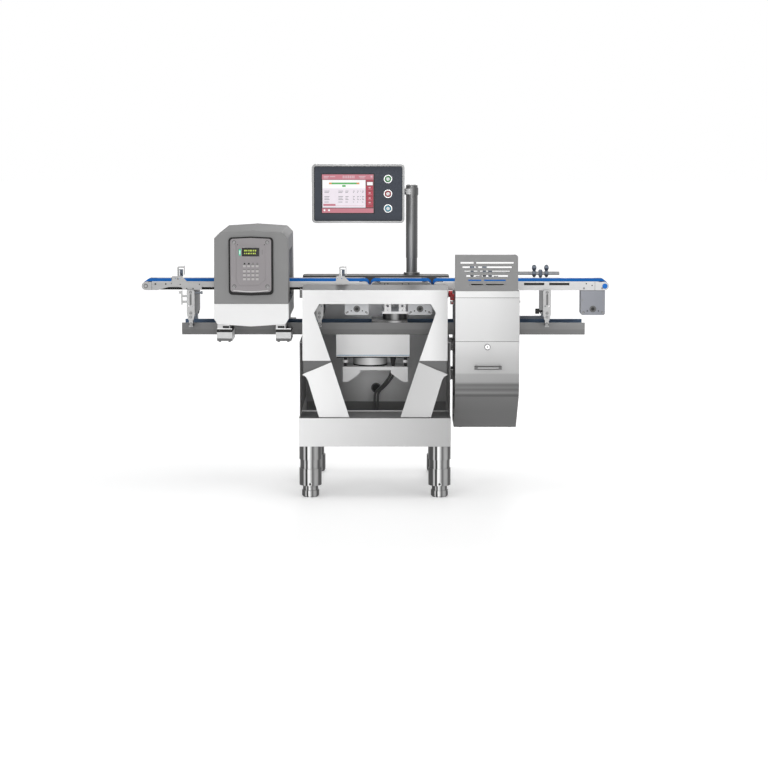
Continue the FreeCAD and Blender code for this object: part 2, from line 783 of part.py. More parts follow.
def legs():
    """Four legs under the tray, and the screw feet in them."""
    columns = []
    for side, sx in (("left", "-1"), ("right", "1")):
        for row, sy in (("front", "-1"), ("rear", "1")):
            across = f"({sx} * leg_across)"
            along = f"({sy} * leg_along)"
            label = f"leg_{row}_{side}"
            if row == "front":
                end = "leg_lower_end"
                waist = "(tray_bottom - 92)"
                sleeve = joined(
                    f"{label}_tube",
                    rod(f"{label}_upper", "z", "leg_radius", 56, (across, along, "tray_bottom - 56")),
                    rod(f"{label}_waist", "z", "leg_waist", 36, (across, along, waist)),
                    rod(f"{label}_lower", "z", "leg_radius", f"{waist} - {end}", (across, along, end)))
            else:
                end = "rear_leg_end"
                sleeve = rod(f"{label}_tube", "z", "rear_leg_radius", f"tray_bottom - {end}",
                             (across, along, end))
            bore = rod(f"{label}_bore", "z", "spindle_radius + shaft_clearance", "spindle_up + 1",
                       (across, along, f"{end} - 1"))
            core_low = f"({end} + spindle_up + 14)"
            core_radius = "leg_waist - 7" if row == "front" else "rear_leg_radius - 5"
            core = rod(f"{label}_core", "z", core_radius, f"tray_bottom - 8 - {core_low}",
                       (across, along, core_low))
            holes = [bore, core]
            if row == "front":
                holes.append(rod(f"{label}_pin_hole", "y", 4, 8,
                                 (across, f"{along} - leg_radius - 1", "leg_lower_end + 8")))
            columns.append(cut(f"{label}_column", sleeve, *holes))
            foot_parts = []
            if row == "front":
                foot_parts.append(rod(f"{label}_pad", "z", "foot_radius", "foot_high - 6",
                                      (across, along, 6)))
                foot_parts.append(cone(f"{label}_pad_edge", "foot_radius - 5", "foot_radius", 6,
                                       (across, along, 0)))
                foot_parts.append(rod(f"{label}_neck", "z", "foot_neck_radius",
                                      f"{end} - foot_high - 0.3", (across, along, "foot_high")))
            else:
                foot_parts.append(rod(f"{label}_pad", "z", "rear_foot_radius", f"{end} - 8 - 0.3",
                                      (across, along, 8)))
                foot_parts.append(cone(f"{label}_pad_edge", "rear_foot_radius - 4",
                                       "rear_foot_radius", 8, (across, along, 0)))
            foot_parts.append(rod(f"{label}_spindle", "z", "spindle_radius", "spindle_up - 1.3",
                                  (across, along, f"{end} - 0.3")))
            node(f"foot_{row}_{side}", joined(f"{label}_foot", *foot_parts))
    node("legs", *columns)


def front_panel():
    """Front sheet with its sloped top edge and the V-shaped window."""
    front = "-panel_front"
    profile = [(front, "panel_bottom"), (f"{front} + panel_sheet", "panel_bottom"),
               (f"{front} + panel_sheet", "panel_top - panel_sheet"),
               ("-panel_back_edge", "panel_top + panel_rise - panel_sheet"),
               ("-panel_back_edge", "panel_top + panel_rise"), (front, "panel_top")]
    sheet_part = plate("panel_bent", "YZ", profile, "-frame_half", "2 * frame_half")
    window = [("-window_foot_half", "panel_bottom - 1"), ("window_foot_half", "panel_bottom - 1"),
              ("window_side_half", "window_corner"), ("window_top_half", "window_top"),
              ("-window_top_half", "window_top"), ("-window_side_half", "window_corner")]
    opening = plate("panel_window", "XZ", window, f"{front} - 1", "panel_sheet + 2",
                    rounds=[(3, (2, 3, 4, 5))])
    node("front_panel", cut("panel_cut", sheet_part, opening))


def deflectors():
    """Two tilted sheets below the window, each with a flared outer tip."""
    lean = "cos(sheet_tilt)"

    def down(up):
        """Distance down the tilted sheet for a height."""
        return f"-((panel_bottom - 3 - {up}) / {lean})"

    sheets = []
    for side, s in (("left", "-1"), ("right", "1")):
        points = [(f"{s} * (window_foot_half - 1)", "0"),
                  (f"{s} * sheet_foot_half", down("sheet_end")),
                  (f"{s} * sheet_outer_half", down("sheet_end")),
                  (f"{s} * sheet_neck_half", down("sheet_neck")),
                  (f"{s} * (sheet_neck_half + 9)", down("(sheet_neck + 14)")),
                  (f"{s} * sheet_tip_half", down("sheet_tip"))]
        lapel = plate(f"lapel_{side}", "XZ", points, "0", "panel_sheet", rounds=[(20, (3, 4))])
        lapel.Placement = FreeCAD.Placement(
            FreeCAD.Vector(), FreeCAD.Rotation(FreeCAD.Vector(-1, 0, 0), number("sheet_tilt")))
        bind(lapel, "Placement.Rotation.Angle", "sheet_tilt")
        bind(lapel, "Placement.Base.y", "-panel_front + panel_sheet + 0.5")
        bind(lapel, "Placement.Base.z", "panel_bottom - 3")
        back = [(f"{s} * (window_foot_half - 1)", "panel_bottom - 9"),
                (f"{s} * sheet_tip_half * 0.985", "sheet_tip - 6"),
                (f"{s} * frame_half * 0.99", "panel_bottom + 20"),
                (f"{s} * (window_foot_half + 8)", "panel_bottom + 20")]
        gusset = plate(f"gusset_{side}", "XZ", back, "-panel_front + panel_sheet", "panel_sheet")
        sheets.append(joined(f"deflector_{side}", lapel, gusset))
    node("deflectors", *sheets)


def frame_sides():
    """Side plates with their front and rear columns, open between for the rail and conveyors."""
    pieces = []
    rim = "(tray_bottom + tray_high)"
    for side, low_x in (("left", "-tray_half_wide"), ("right", "tray_half_wide - side_sheet")):
        lower = plate(f"side_{side}_lower", "YZ",
                      rect(("-panel_front + panel_sheet", "rear_panel_front"), (rim, "side_top")),
                      low_x, "side_sheet")
        inner_x = "-frame_half" if side == "left" else "frame_half - 30"
        ledge = block(f"side_{side}_ledge", (low_x, "tray_half_wide - frame_half + 30")
                      if side == "left" else
                      ("frame_half - 30", "tray_half_wide - frame_half + 30"),
                      ("-panel_front + panel_sheet", "rear_panel_front + panel_front - panel_sheet"),
                      ("side_top - side_sheet", "side_sheet"))
        front = block(f"side_{side}_front_column", (inner_x, 30),
                      ("-panel_front + panel_sheet", "panel_front - panel_sheet - panel_back_edge"),
                      ("side_top", "panel_top - panel_sheet - side_top"))
        front_cut = block(f"side_{side}_front_space",
                          (f"{inner_x} - 1" if side == "right" else f"{inner_x} + side_sheet",
                           "31 - side_sheet"),
                          ("-panel_front + panel_sheet + side_sheet", "panel_front - panel_back_edge"),
                          ("side_top - 1", "panel_top - side_top + 2"))
        back = block(f"side_{side}_rear_column", (inner_x, 30), ("beam_front", "beam_back - beam_front"),
                     ("side_top", "beam_top - beam_high - side_top"))
        front_column = cut(f"side_{side}_column", front, front_cut)
        seat = block(f"side_{side}_rail_seat", (inner_x, 30), ("-rail_half + 4", "2 * rail_half - 8"),
                     ("side_top", "rail_top - rail_high - side_top"))
        pieces.append(joined(f"side_{side}", lower, ledge, front_column, back, seat))
    node("side_frames", *pieces)


def rear_parts():
    panel = plate("rear_sheet", "XZ",
                  rect(("-tray_half_wide + side_sheet", "tray_half_wide - side_sheet"),
                       ("rear_panel_bottom", "beam_top - beam_high")),
                  "rear_panel_front", "panel_sheet")
    gland_hole = rod("rear_gland_hole", "y", "gland_radius - 4", "panel_sheet + 2",
                     (0, "rear_panel_front - 1", "gland_up"))
    node("rear_panel", cut("rear_sheet_cut", panel, gland_hole))
    points = rect(("-beam_half", "beam_half"), ("beam_front", "beam_back"))
    bar = plate("beam_bar", "XY", points, "beam_top - beam_high", "beam_high",
                rounds=[("beam_round", (0, 1, 2, 3))])
    inset = "(beam_wall + 6)"
    room = block("beam_room", (f"-beam_half + {inset}", f"2 * (beam_half - {inset})"),
                 (f"beam_front + {inset}", f"beam_back - beam_front - 2 * {inset}"),
                 ("beam_top - beam_high + beam_wall", "beam_high - 2 * beam_wall"))
    node("rear_beam", cut("beam_tube", bar, room))


def inner_parts():
    """Electronics box under the rail, its bracket, the load cell and its plate."""
    box = rect(("-box_left", "box_right"), ("box_bottom", "rail_low"))
    case = plate("box_case", "XZ", box, "-box_half_deep", "2 * box_half_deep")
    room = block("box_room", ("-box_left + box_wall", "box_left + box_right - 2 * box_wall"),
                 ("-box_half_deep + box_wall", "2 * (box_half_deep - box_wall)"),
                 ("box_bottom + box_wall", "box_high - 2 * box_wall"))
    node("electronics_box", cut("box_shell", case, room))

    strip_low = "(bracket_top - bracket_strip)"
    ear_low = "(bracket_top - bracket_ear)"
    points = [("-bracket_half", ear_low), ("-bracket_half + 22", ear_low),
              ("-bracket_half + 70", f"{strip_low} - 12"), ("-bracket_half + 70", strip_low),
              ("bracket_half - 70", strip_low), ("bracket_half - 70", f"{strip_low} - 12"),
              ("bracket_half - 22", ear_low), ("bracket_half", ear_low),
              ("bracket_half", "bracket_top"), ("-bracket_half", "bracket_top")]
    face = plate("bracket_face", "XZ", points, "-box_half_deep", 3)
    shelf = block("bracket_shelf", ("-bracket_half", "2 * bracket_half"),
                  ("-box_half_deep", "2 * box_half_deep"), ("bracket_top - 3", 3))
    drum = rod("bracket_drum", "z", "drum_radius", "bracket_gap", ("-drum_across", 0, "bracket_top"))
    posts = []
    post_out = "(bracket_half - 10)"
    post_along = "(box_half_deep - 20)"
    for i, sx in enumerate(("-1", "1")):
        for j, sy in enumerate(("-1", "1")):
            spot = (f"{sx} * {post_out}", f"{sy} * {post_along}")
            posts.append(rod(f"bracket_post{i}{j}", "z", "post_radius", "bracket_gap",
                             (*spot, "bracket_top")))
            posts.append(rod(f"bracket_nut{i}{j}", "z", "post_nut_radius", "post_nut_high",
                             (*spot, "bracket_top + bracket_gap / 2 - post_nut_high / 2")))
    buffer_spot = ("bracket_half - 61", f"-{post_along}")
    posts.append(cone("bracket_buffer", "post_radius", "buffer_radius", "bracket_gap",
                      (*buffer_spot, "bracket_top")))
    node("box_bracket", joined("bracket_solid", face, shelf, drum, *posts))

    base = block("cell_base", ("-cell_base_left", "cell_middle + cell_radius + cell_base_left"),
                 ("-rail_half", "2 * rail_half"), ("rail_top", "cell_base_high"))
    drum = rod("cell_drum", "z", "cell_radius", "cell_body_high",
               ("cell_middle", 0, "rail_top + cell_base_high"))
    node("load_cell", joined("cell_solid", base, drum))
    cell_top = "(rail_top + cell_base_high + cell_body_high)"
    top = block("cell_plate", ("cell_middle - cell_radius", "2 * cell_radius"),
                ("-conveyor_half", "2 * conveyor_half"), (cell_top, "cell_plate_high"))
    risers = []
    for i, s in enumerate(("-1", "1")):
        left = f"(cell_middle + {s} * (cell_bracket_gap) - cell_bracket_wide / 2)"
        for j, low in enumerate(("-conveyor_half", "conveyor_half - side_plate")):
            riser = block(f"cell_riser{i}{j}", (left, "cell_bracket_wide"), (low, "side_plate"),
                          (cell_top, f"{PLATE_LOW} + 4 - {cell_top}"))
            holes = [rod(f"cell_riser_hole{i}{j}{k}", "y", radius, "side_plate + 2",
                         (f"{left} + cell_bracket_wide / 2", f"{low} - 1", f"{cell_top} + {up}"))
                     for k, (radius, up) in enumerate(((5, 32), (2.5, 15)))]
            risers.append(cut(f"cell_riser_bored{i}{j}", riser, *holes))
    node("load_plate", joined("load_plate_solid", top, *risers))


def cable_wire(points):
    """Straight runs joined by tangent arcs as large as the runs allow."""
    edges = []
    last = points[0]
    for before, corner, after in zip(points, points[1:], points[2:]):
        back = before - corner
        ahead = after - corner
        short = min(back.Length, ahead.Length)
        turn = math.pi - back.getAngle(ahead)
        reach = 0.45 * short
        print("cable radius", round(reach / math.tan(turn / 2), 1))
        start = corner + back * (reach / back.Length)
        stop = corner + ahead * (reach / ahead.Length)
        radius = reach / math.tan(turn / 2)
        toward = (back * (1 / back.Length) + ahead * (1 / ahead.Length))
        toward.normalize()
        centre_far = radius / math.cos(turn / 2)
        middle = corner + toward * (centre_far - radius)
        edges.append(Part.LineSegment(last, start).toShape())
        edges.append(Part.Arc(start, middle, stop).toShape())
        last = stop
    edges.append(Part.LineSegment(last, points[-1]).toShape())
    return Part.Wire(edges)


def cables():
    """Two signal cables from the bracket down to their glands in the tray's floor."""
    floor = number("tray_bottom + tray_sheet")
    top = number("bracket_top - 3")
    radius = number("cable_radius")
    solids = []
    for shift in (-0.5, 0.5):
        move = shift * number("cable_spread")
        route = [FreeCAD.Vector(70 + move, 40, top), FreeCAD.Vector(70 + move, 40, top - 44),
                 FreeCAD.Vector(43 + move, 76, top - 88), FreeCAD.Vector(3 + move, 110, top - 128),
                 FreeCAD.Vector(1 + move, 130, top - 172), FreeCAD.Vector(1 + move, 136, floor + 54),
                 FreeCAD.Vector(1 + move, 136, floor + 12)]
        wire = cable_wire(route)
        ring = Part.Wire(Part.makeCircle(radius, route[0], route[1] - route[0]))
        tube = wire.makePipeShell([ring], True, False)
        expected = wire.Length * math.pi * radius ** 2
        print("cable volume over expected", round(tube.Volume / expected, 4))
        solids.append(tube)
        gland = Part.makeCylinder(radius + 1.3, 12, FreeCAD.Vector(route[-1].x, route[-1].y, floor))
        solids.append(gland)
    item = doc.addObject("Part::Feature", "signal_cables_shape")
    item.Shape = Part.Compound(solids)
    node("signal_cables", item)


EDGE_HALF = "(detector_half_bottom - 14)"
DETECTOR_FRONT = "(-detector_half_deep)"
GASKET_FRONT = "(-detector_half_deep - gasket_thick)"
CONTROL_FRONT = "(-detector_half_deep - control_thick)"


def from_middle(text):
    return f"(-detector_middle + {text})"


def arched(half, low, high, arch):
    """Rectangle whose top and bottom edges rise to the middle."""
    return [(from_middle(f"-({half})"), low), (from_middle("0"), f"{low} - {arch}"),
            (from_middle(half), low), (from_middle(half), high),
            (from_middle("0"), f"{high} + {arch}"), (from_middle(f"-({half})"), high)]


def detector():
    deep = "2 * detector_half_deep"
    chamfer_up = "(detector_shoulder - detector_chamfer)"
    upper = [(from_middle("-detector_half_bottom + 1"), "detector_seam"),
             (from_middle("detector_half_bottom - 1"), "detector_seam"),
             (from_middle("detector_half_top"), chamfer_up),
             (from_middle("detector_half_top - detector_chamfer"), "detector_shoulder"),
             (from_middle("0"), "detector_peak"),
             (from_middle("-detector_half_top + detector_chamfer"), "detector_shoulder"),
             (from_middle("-detector_half_top"), chamfer_up)]
    shell = plate("detector_upper", "XZ", upper, DETECTOR_FRONT, deep, rounds=[(6, (2, 3, 5, 6))])
    wall = "detector_wall"
    room = block("detector_room",
                 (from_middle(f"-detector_half_top + {wall} + 4"), f"2 * (detector_half_top - {wall} - 4)"),
                 (f"{DETECTOR_FRONT} + {wall}", f"{deep} - 2 * {wall}"),
                 (f"detector_seam + {wall}",
                  f"detector_shoulder - detector_chamfer - detector_seam - {wall}"))
    sleeve = block("detector_sleeve",
                   (from_middle("-detector_half_top + 2"), "2 * detector_half_top - 4"),
                   (f"-tunnel_half - {wall}", f"2 * (tunnel_half + {wall})"),
                   (f"tunnel_bottom - {wall}", f"tunnel_top - tunnel_bottom + 2 * {wall}"))
    tunnel = block("detector_tunnel",
                   (from_middle("-detector_half_bottom - 1"), "2 * detector_half_bottom + 2"),
                   ("-tunnel_half", "2 * tunnel_half"), ("tunnel_bottom", "tunnel_top - tunnel_bottom"))
    hollow = cut("detector_hollow", shell, room)
    node("detector_housing", cut("detector_bored", joined("detector_with_sleeve", hollow, sleeve), tunnel))

    lower = [(from_middle("-detector_half_bottom"), "detector_corner"),
             (from_middle("-detector_half_bottom + 14"), "detector_lower"),
             (from_middle("0"), "detector_bottom"),
             (from_middle("detector_half_bottom - 14"), "detector_lower"),
             (from_middle("detector_half_bottom"), "detector_corner"),
             (from_middle("detector_half_bottom - 1"), "detector_seam"),
             (from_middle("-detector_half_bottom + 1"), "detector_seam")]
    cover = plate("detector_lower_case", "XZ", lower, DETECTOR_FRONT, deep)
    cover_room = block("detector_cover_room",
                       (from_middle(f"-detector_half_bottom + {wall} + 4"),
                        f"2 * (detector_half_bottom - {wall} - 4)"),
                       (f"{DETECTOR_FRONT} + {wall}", f"{deep} - 2 * {wall}"),
                       (f"detector_corner", "detector_seam - detector_corner + 1"))
    node("detector_cover", cut("detector_cover_shell", cover, cover_room))

    ring = block("coil_outside", (from_middle("-coil_thick * 2.5"), "coil_thick * 5"),
                 (f"-tunnel_half - {wall} - coil_thick", f"2 * (tunnel_half + {wall} + coil_thick)"),
                 (f"detector_seam + {wall}",
                  f"tunnel_top + {wall} + coil_thick - detector_seam - {wall}"))
    hole = block("coil_inside", (from_middle("-coil_thick * 2.5 - 1"), "coil_thick * 5 + 2"),
                 (f"-tunnel_half - {wall}", f"2 * (tunnel_half + {wall})"),
                 (f"tunnel_bottom - {wall}", f"tunnel_top - tunnel_bottom + 2 * {wall}"))
    node("search_coil", cut("coil_ring", ring, hole))

    node("panel_gasket", plate("gasket_pad", "XZ",
                               arched("gasket_half", "gasket_bottom", "gasket_top", "control_arch"),
                               GASKET_FRONT, "gasket_thick", rounds=[(14, (0, 2, 3, 5))]))
    face = plate("control_plate", "XZ",
                 arched("control_half", "control_bottom", "control_top", "control_arch"),
                 CONTROL_FRONT, "control_thick - gasket_thick", rounds=[(11, (0, 2, 3, 5))])
    node("control_panel", face)
    left = from_middle("-display_wide / 2")
    window = block("detector_window", (left, "display_wide"), (f"{CONTROL_FRONT} - 1", 1),
                   ("display_bottom", "display_high"))
    lamp = block("lamp_block", (f"{left} - lamp_gap - lamp_wide", "lamp_wide"),
                 (f"{CONTROL_FRONT} - 1.5", 1.5),
                 ("display_bottom + display_high / 2 - lamp_high / 2", "lamp_high"))
    node("panel_windows", window, lamp)
    keys = []
    for row in range(4):
        for column in range(4):
            middle = from_middle(f"({column} - 1.5) * key_pitch")
            drop = "0" if row == 0 else f"(20 + ({row} - 1) * key_row_pitch)"
            keys.append(block(f"key_{row}_{column}", (f"{middle} - key_size / 2", "key_size"),
                              (f"{CONTROL_FRONT} - 0.8", 0.8),
                              (f"key_top_row - {drop} - key_size / 2", "key_size * 0.8")))
    node("keypad", *keys)


def detector_mounts():
    """Blocks on the rail's sides, rubber pads, and the pads under the detector."""
    blocks = []
    rubbers = []
    spots = {"left": from_middle("-mount_left - mount_wide / 2"),
             "right": from_middle("mount_right - mount_wide / 2")}
    for side, left in spots.items():
        for row, s in (("front", "-1"), ("rear", "1")):
            label = f"mount_{row}_{side}"
            outer = f"({s} * detector_half_deep)"
            inner = f"({s} * rail_half)"
            step = f"({s} * (detector_half_deep - mount_step))"
            points = [(outer, "mount_foot + mount_step"), (step, "mount_foot"), (inner, "mount_foot"),
                      (inner, "mount_block_top"), (outer, "mount_block_top")]
            blocks.append(plate(f"{label}_block", "YZ", points, left, "mount_wide"))
            low = "-detector_half_deep" if row == "front" else "detector_half_deep - 110"
            rubbers.append(block(f"{label}_rubber", (left, "mount_wide"), (low, 110),
                                 ("mount_block_top", "rubber_high")))
            pad_low = "(mount_block_top + rubber_high)"
            ends = {"left": ("-edge_half", "-edge_half + 48"), "right": ("edge_half - 38", "edge_half")}
            points = []
            for end in ends[side]:
                points.append((from_middle(end.replace("edge_half", EDGE_HALF)), pad_low))
            for end in reversed(ends[side]):
                out = end.replace("edge_half", EDGE_HALF)
                share = f"abs({out}) / {EDGE_HALF}"
                up = f"(detector_bottom + (detector_lower - detector_bottom) * {share})"
                points.append((from_middle(out), up))
            blocks.append(plate(f"{label}_pad", "XZ", points, low, 110))
    node("detector_mounts", *blocks)
    node("mount_rubbers", *rubbers)


def light_barriers():
    """Bracket plate on the front side plate, hook guard and sensor body, twice."""
    plates = []
    bodies = []
    front = "(-conveyor_half - barrier_plate)"
    for i, middle in enumerate(("-barrier_first", "-barrier_second")):
        top = "(transport_height + barrier_rise)"
        if i == 0:
            points = [(f"{middle} - 38", f"{PLATE_TOP} - 19"), (f"{middle} - 1", f"{PLATE_TOP} - 19"),
                      (f"{middle} + 10", f"{PLATE_LOW} + 2"), (f"{middle} + 84", f"{PLATE_LOW} + 2"),
                      (f"{middle} + 84", f"{PLATE_TOP} - 5"), (f"{middle} + 28", f"{PLATE_TOP} - 2"),
                      (f"{middle} + 3", top), (f"{middle} - 38", top)]
        else:
            points = [(f"{middle} - 27", f"{PLATE_TOP} - 19"), (f"{middle} + 44", f"{PLATE_TOP} - 19"),
                      (f"{middle} + 36", f"{PLATE_TOP} - 9"), (f"{middle} + 6", top),
                      (f"{middle} - 27", top)]
        holder = plate(f"barrier{i}_plate", "XZ", points, front, "barrier_plate", rounds=[(4, (-1,))])
        spots = [(-22, 15), (-4, 14)]
        holes = [rod(f"barrier{i}_hole{k}", "y", 2.2, "barrier_plate + 2",
                     (f"{middle} + {dx}", f"{front} - 1", f"transport_height + {dz}"))
                 for k, (dx, dz) in enumerate(spots)]
        body_left = f"({middle} - barrier_body_wide / 2)"
        body_low = f"({top} - 2)"
        hook_under = f"({body_low} + barrier_body_high + barrier_hook_room)"
        hook_left = f"({body_left} - barrier_hook - 1)"
        hook_right = f"({body_left} + barrier_body_wide + 4 + barrier_hook_end)"
        hook_end = f"({hook_right} - barrier_hook_end)"
        line = [(hook_left, f"{top} - 12"), (f"{hook_left} + barrier_hook", f"{top} - 12"),
                (f"{hook_left} + barrier_hook", hook_under), (hook_end, hook_under),
                (hook_end, f"{hook_under} - barrier_hook_drop + barrier_hook"),
                (hook_right, f"{hook_under} - barrier_hook_drop + barrier_hook"),
                (hook_right, f"{hook_under} + barrier_hook + 5"),
                (hook_end, f"{hook_under} + barrier_hook"), (hook_left, f"{hook_under} + barrier_hook")]
        hook = plate(f"barrier{i}_hook", "XZ", line, front, "barrier_hook_deep",
                     rounds=[("barrier_hook", (8,))])
        plates.append(joined(f"barrier{i}_holder", cut(f"barrier{i}_drilled", holder, *holes), hook))
        bodies.append(block(f"barrier{i}_body", (body_left, "barrier_body_wide"),
                            (f"{front} + barrier_plate", 11), (body_low, "barrier_body_high")))
    node("barrier_brackets", *plates)
    node("barrier_sensors", *bodies)


def guide_rod():
    """Rod along the rear of the outfeed belt, with clamps and two posts."""
    pieces = [rod("guide_bar", "x", "rod_radius", "rod_right - rod_left",
                  ("rod_left", "rod_behind", "rod_up"))]
    half = "(clamp_wide / 2)"
    clamps = []
    for i, out in enumerate((71, 122, 329, 380)):
        across = f"(rod_left + {out})"
        low = rod(f"clamp{i}_low", "x", "clamp_radius + 6", "clamp_wide - 6",
                  (f"{across} - {half} + 3", "rod_behind", "rod_up"))
        high = rod(f"clamp{i}_high", "x", "clamp_radius", "clamp_wide",
                   (f"{across} - {half}", "rod_behind", "rod_up + clamp_rise"))
        hole = rod(f"clamp{i}_hole", "x", "rod_radius", "clamp_wide + 2",
                   (f"{across} - {half} - 1", "rod_behind", "rod_up"))
        clamps.append(cut(f"clamp{i}", joined(f"clamp{i}_blank", low, high), hole))
    for i, out in enumerate((146, 355)):
        across = f"(rod_left + {out})"
        head = block(f"post{i}_head", (f"{across} - 8", 16), ("rod_behind - 9", 18), ("rod_up - 16", 32))
        hole = rod(f"post{i}_hole", "x", "rod_radius", 18, (f"{across} - 9", "rod_behind", "rod_up"))
        stem = block(f"post{i}_stem", (f"{across} - 5", 10), ("conveyor_half", 12),
                     (f"{PLATE_LOW} + 6", f"rod_up - 16 - {PLATE_LOW} - 6"))
        clamps.append(cut(f"post{i}", joined(f"post{i}_blank", head, stem), hole))
    node("guide_rod", *pieces, *clamps)
    jets = []
    for i, out in enumerate((95, 170)):
        across = f"(rod_left + {out})"
        jets.append(block(f"nozzle{i}", (f"{across} - nozzle_wide / 2", "nozzle_wide"),
                          ("conveyor_half", 14), (f"{PLATE_LOW} + 6", f"nozzle_high")))
    node("air_nozzles", *jets)


POLE = ("pole_across", "pole_behind")


def terminal():
    """Pole, swivel arm, terminal housing, display and three buttons."""
    flange = rod("pole_flange", "z", "flange_radius", "flange_high", (*POLE, "beam_top"))
    lower = rod("pole_lower", "z", "pole_lower_radius", "pole_step - beam_top", (*POLE, "beam_top"))
    arm_low = "(arm_up - arm_collar_high / 2)"
    upper = rod("pole_upper", "z", "pole_radius", "pole_top - pole_step - 4", (*POLE, "pole_step"))
    cap = cone("pole_cap", "pole_radius", "pole_radius - 6", 4, (*POLE, "pole_top - 4"))
    core = rod("pole_core", "z", "pole_lower_radius - 5", "pole_top - beam_top - flange_high - 20",
               (*POLE, "beam_top + flange_high"))
    node("terminal_pole", cut("pole_tube", joined("pole_solid", flange, lower, upper, cap), core))

    collar = rod("arm_collar_ring", "z", "arm_collar", "arm_collar_high", (*POLE, arm_low))
    collar_bore = rod("arm_collar_bore", "z", "pole_radius + shaft_clearance", "arm_collar_high + 2",
                      (*POLE, f"{arm_low} - 1"))
    back = "(terminal_front + terminal_deep)"
    pivot_y = f"({back} + 22)"
    tube = rod("arm_tube", "x", "arm_radius", "pole_across - arm_collar + 4 + terminal_middle - 30",
               ("-terminal_middle + 30", pivot_y, "arm_up"))
    tube_cut = rod("arm_tube_cut", "z", "pole_radius + shaft_clearance", "arm_collar_high + 2",
                   (*POLE, f"{arm_low} - 1"))
    pin = rod("arm_pin", "x", 6, 60, ("-terminal_middle - 30", pivot_y, "arm_up"))
    bridge = block("arm_bridge", ("pole_across - arm_collar - 6", "arm_collar"),
                   (f"{pivot_y} - 10", f"pole_behind - {pivot_y} + 10"),
                   (f"{arm_low} + 4", "arm_collar_high - 8"))
    blank = joined("arm_blank", collar, tube, pin, bridge)
    node("terminal_arm", cut("arm_solid", blank, collar_bore, tube_cut))

    left = "(-terminal_middle - terminal_half_wide)"
    top = "(terminal_bottom + terminal_high)"
    case = plate("terminal_case", "XZ",
                 rect((left, "-terminal_middle + terminal_half_wide"), ("terminal_bottom", top)),
                 "terminal_front", "terminal_deep", rounds=[("terminal_round", (0, 1, 2, 3))])
    face_room = plate("terminal_face_room", "XZ",
                      rect((f"{left} + bezel", "-terminal_middle + terminal_half_wide - bezel"),
                           ("terminal_bottom + bezel", f"{top} - bezel")),
                      "terminal_front - 1", "bezel_proud + 1",
                      rounds=[("terminal_round - bezel", (0, 1, 2, 3))])
    ears = [block(f"terminal_ear{i}", (f"-terminal_middle {s}", 8), (back, 32), ("arm_up - 14", 28))
            for i, s in enumerate(("- 20", "+ 10"))]
    ear_bores = rod("terminal_ear_bore", "x", "6 + shaft_clearance", 60,
                    ("-terminal_middle - 30", pivot_y, "arm_up"))
    seats = []
    for i in range(3):
        spot = ("button_across", "terminal_front", f"button_top - {i} * button_pitch")
        seats.append(rod(f"button_seat{i}", "y", "button_radius + shaft_clearance", 20, spot))
    rings = []
    for i in range(3):
        spot = ("button_across", "terminal_front + bezel_proud - button_ring_proud",
                f"button_top - {i} * button_pitch")
        rings.append(rod(f"button_ring{i}", "y", "button_ring", "button_ring_proud", spot))
    hollow = cut("terminal_recessed", case, face_room)
    blank = joined("terminal_blank", hollow, *ears, *rings)
    room = block("terminal_room", (f"{left} + 12", "2 * terminal_half_wide - 24"),
                 ("terminal_front + 24", "terminal_deep - 28"),
                 ("terminal_bottom + 12", "terminal_high - 24"))
    node("terminal_housing", cut("terminal_solid", blank, ear_bores, *seats, room))
    face = "(terminal_front + bezel_proud)"
    node("terminal_display", block("display_glass", ("-glass_left", "glass_wide"),
                                   (f"{face} - glass_thick", "glass_thick"),
                                   ("glass_bottom", "glass_high")))
    for i, name in enumerate(("start_button", "stop_button", "menu_button")):
        spot = ("button_across", f"{face} - button_proud", f"button_top - {i} * button_pitch")
        node(name, rod(f"{name}_cap", "y", "button_radius", "button_proud + 10", spot))


CABINET_RIGHT = "(cabinet_left + cabinet_wide)"


def door_line(inset):
    """Side profile of the door from its top edge down to its foot, moved inwards."""
    front = f"(-cabinet_front + {inset})"
    return [(front, "door_top"), (front, "door_bend"),
            (f"{front} + door_ease", "door_bend - 0.4 * door_knee_drop"),
            (f"{front} + 3 * door_ease", "door_bend - 0.76 * door_knee_drop"),
            (f"(-door_knee_front + {inset})", "door_knee_up"),
            (f"(-door_foot_front + {inset})", "cabinet_bottom")]


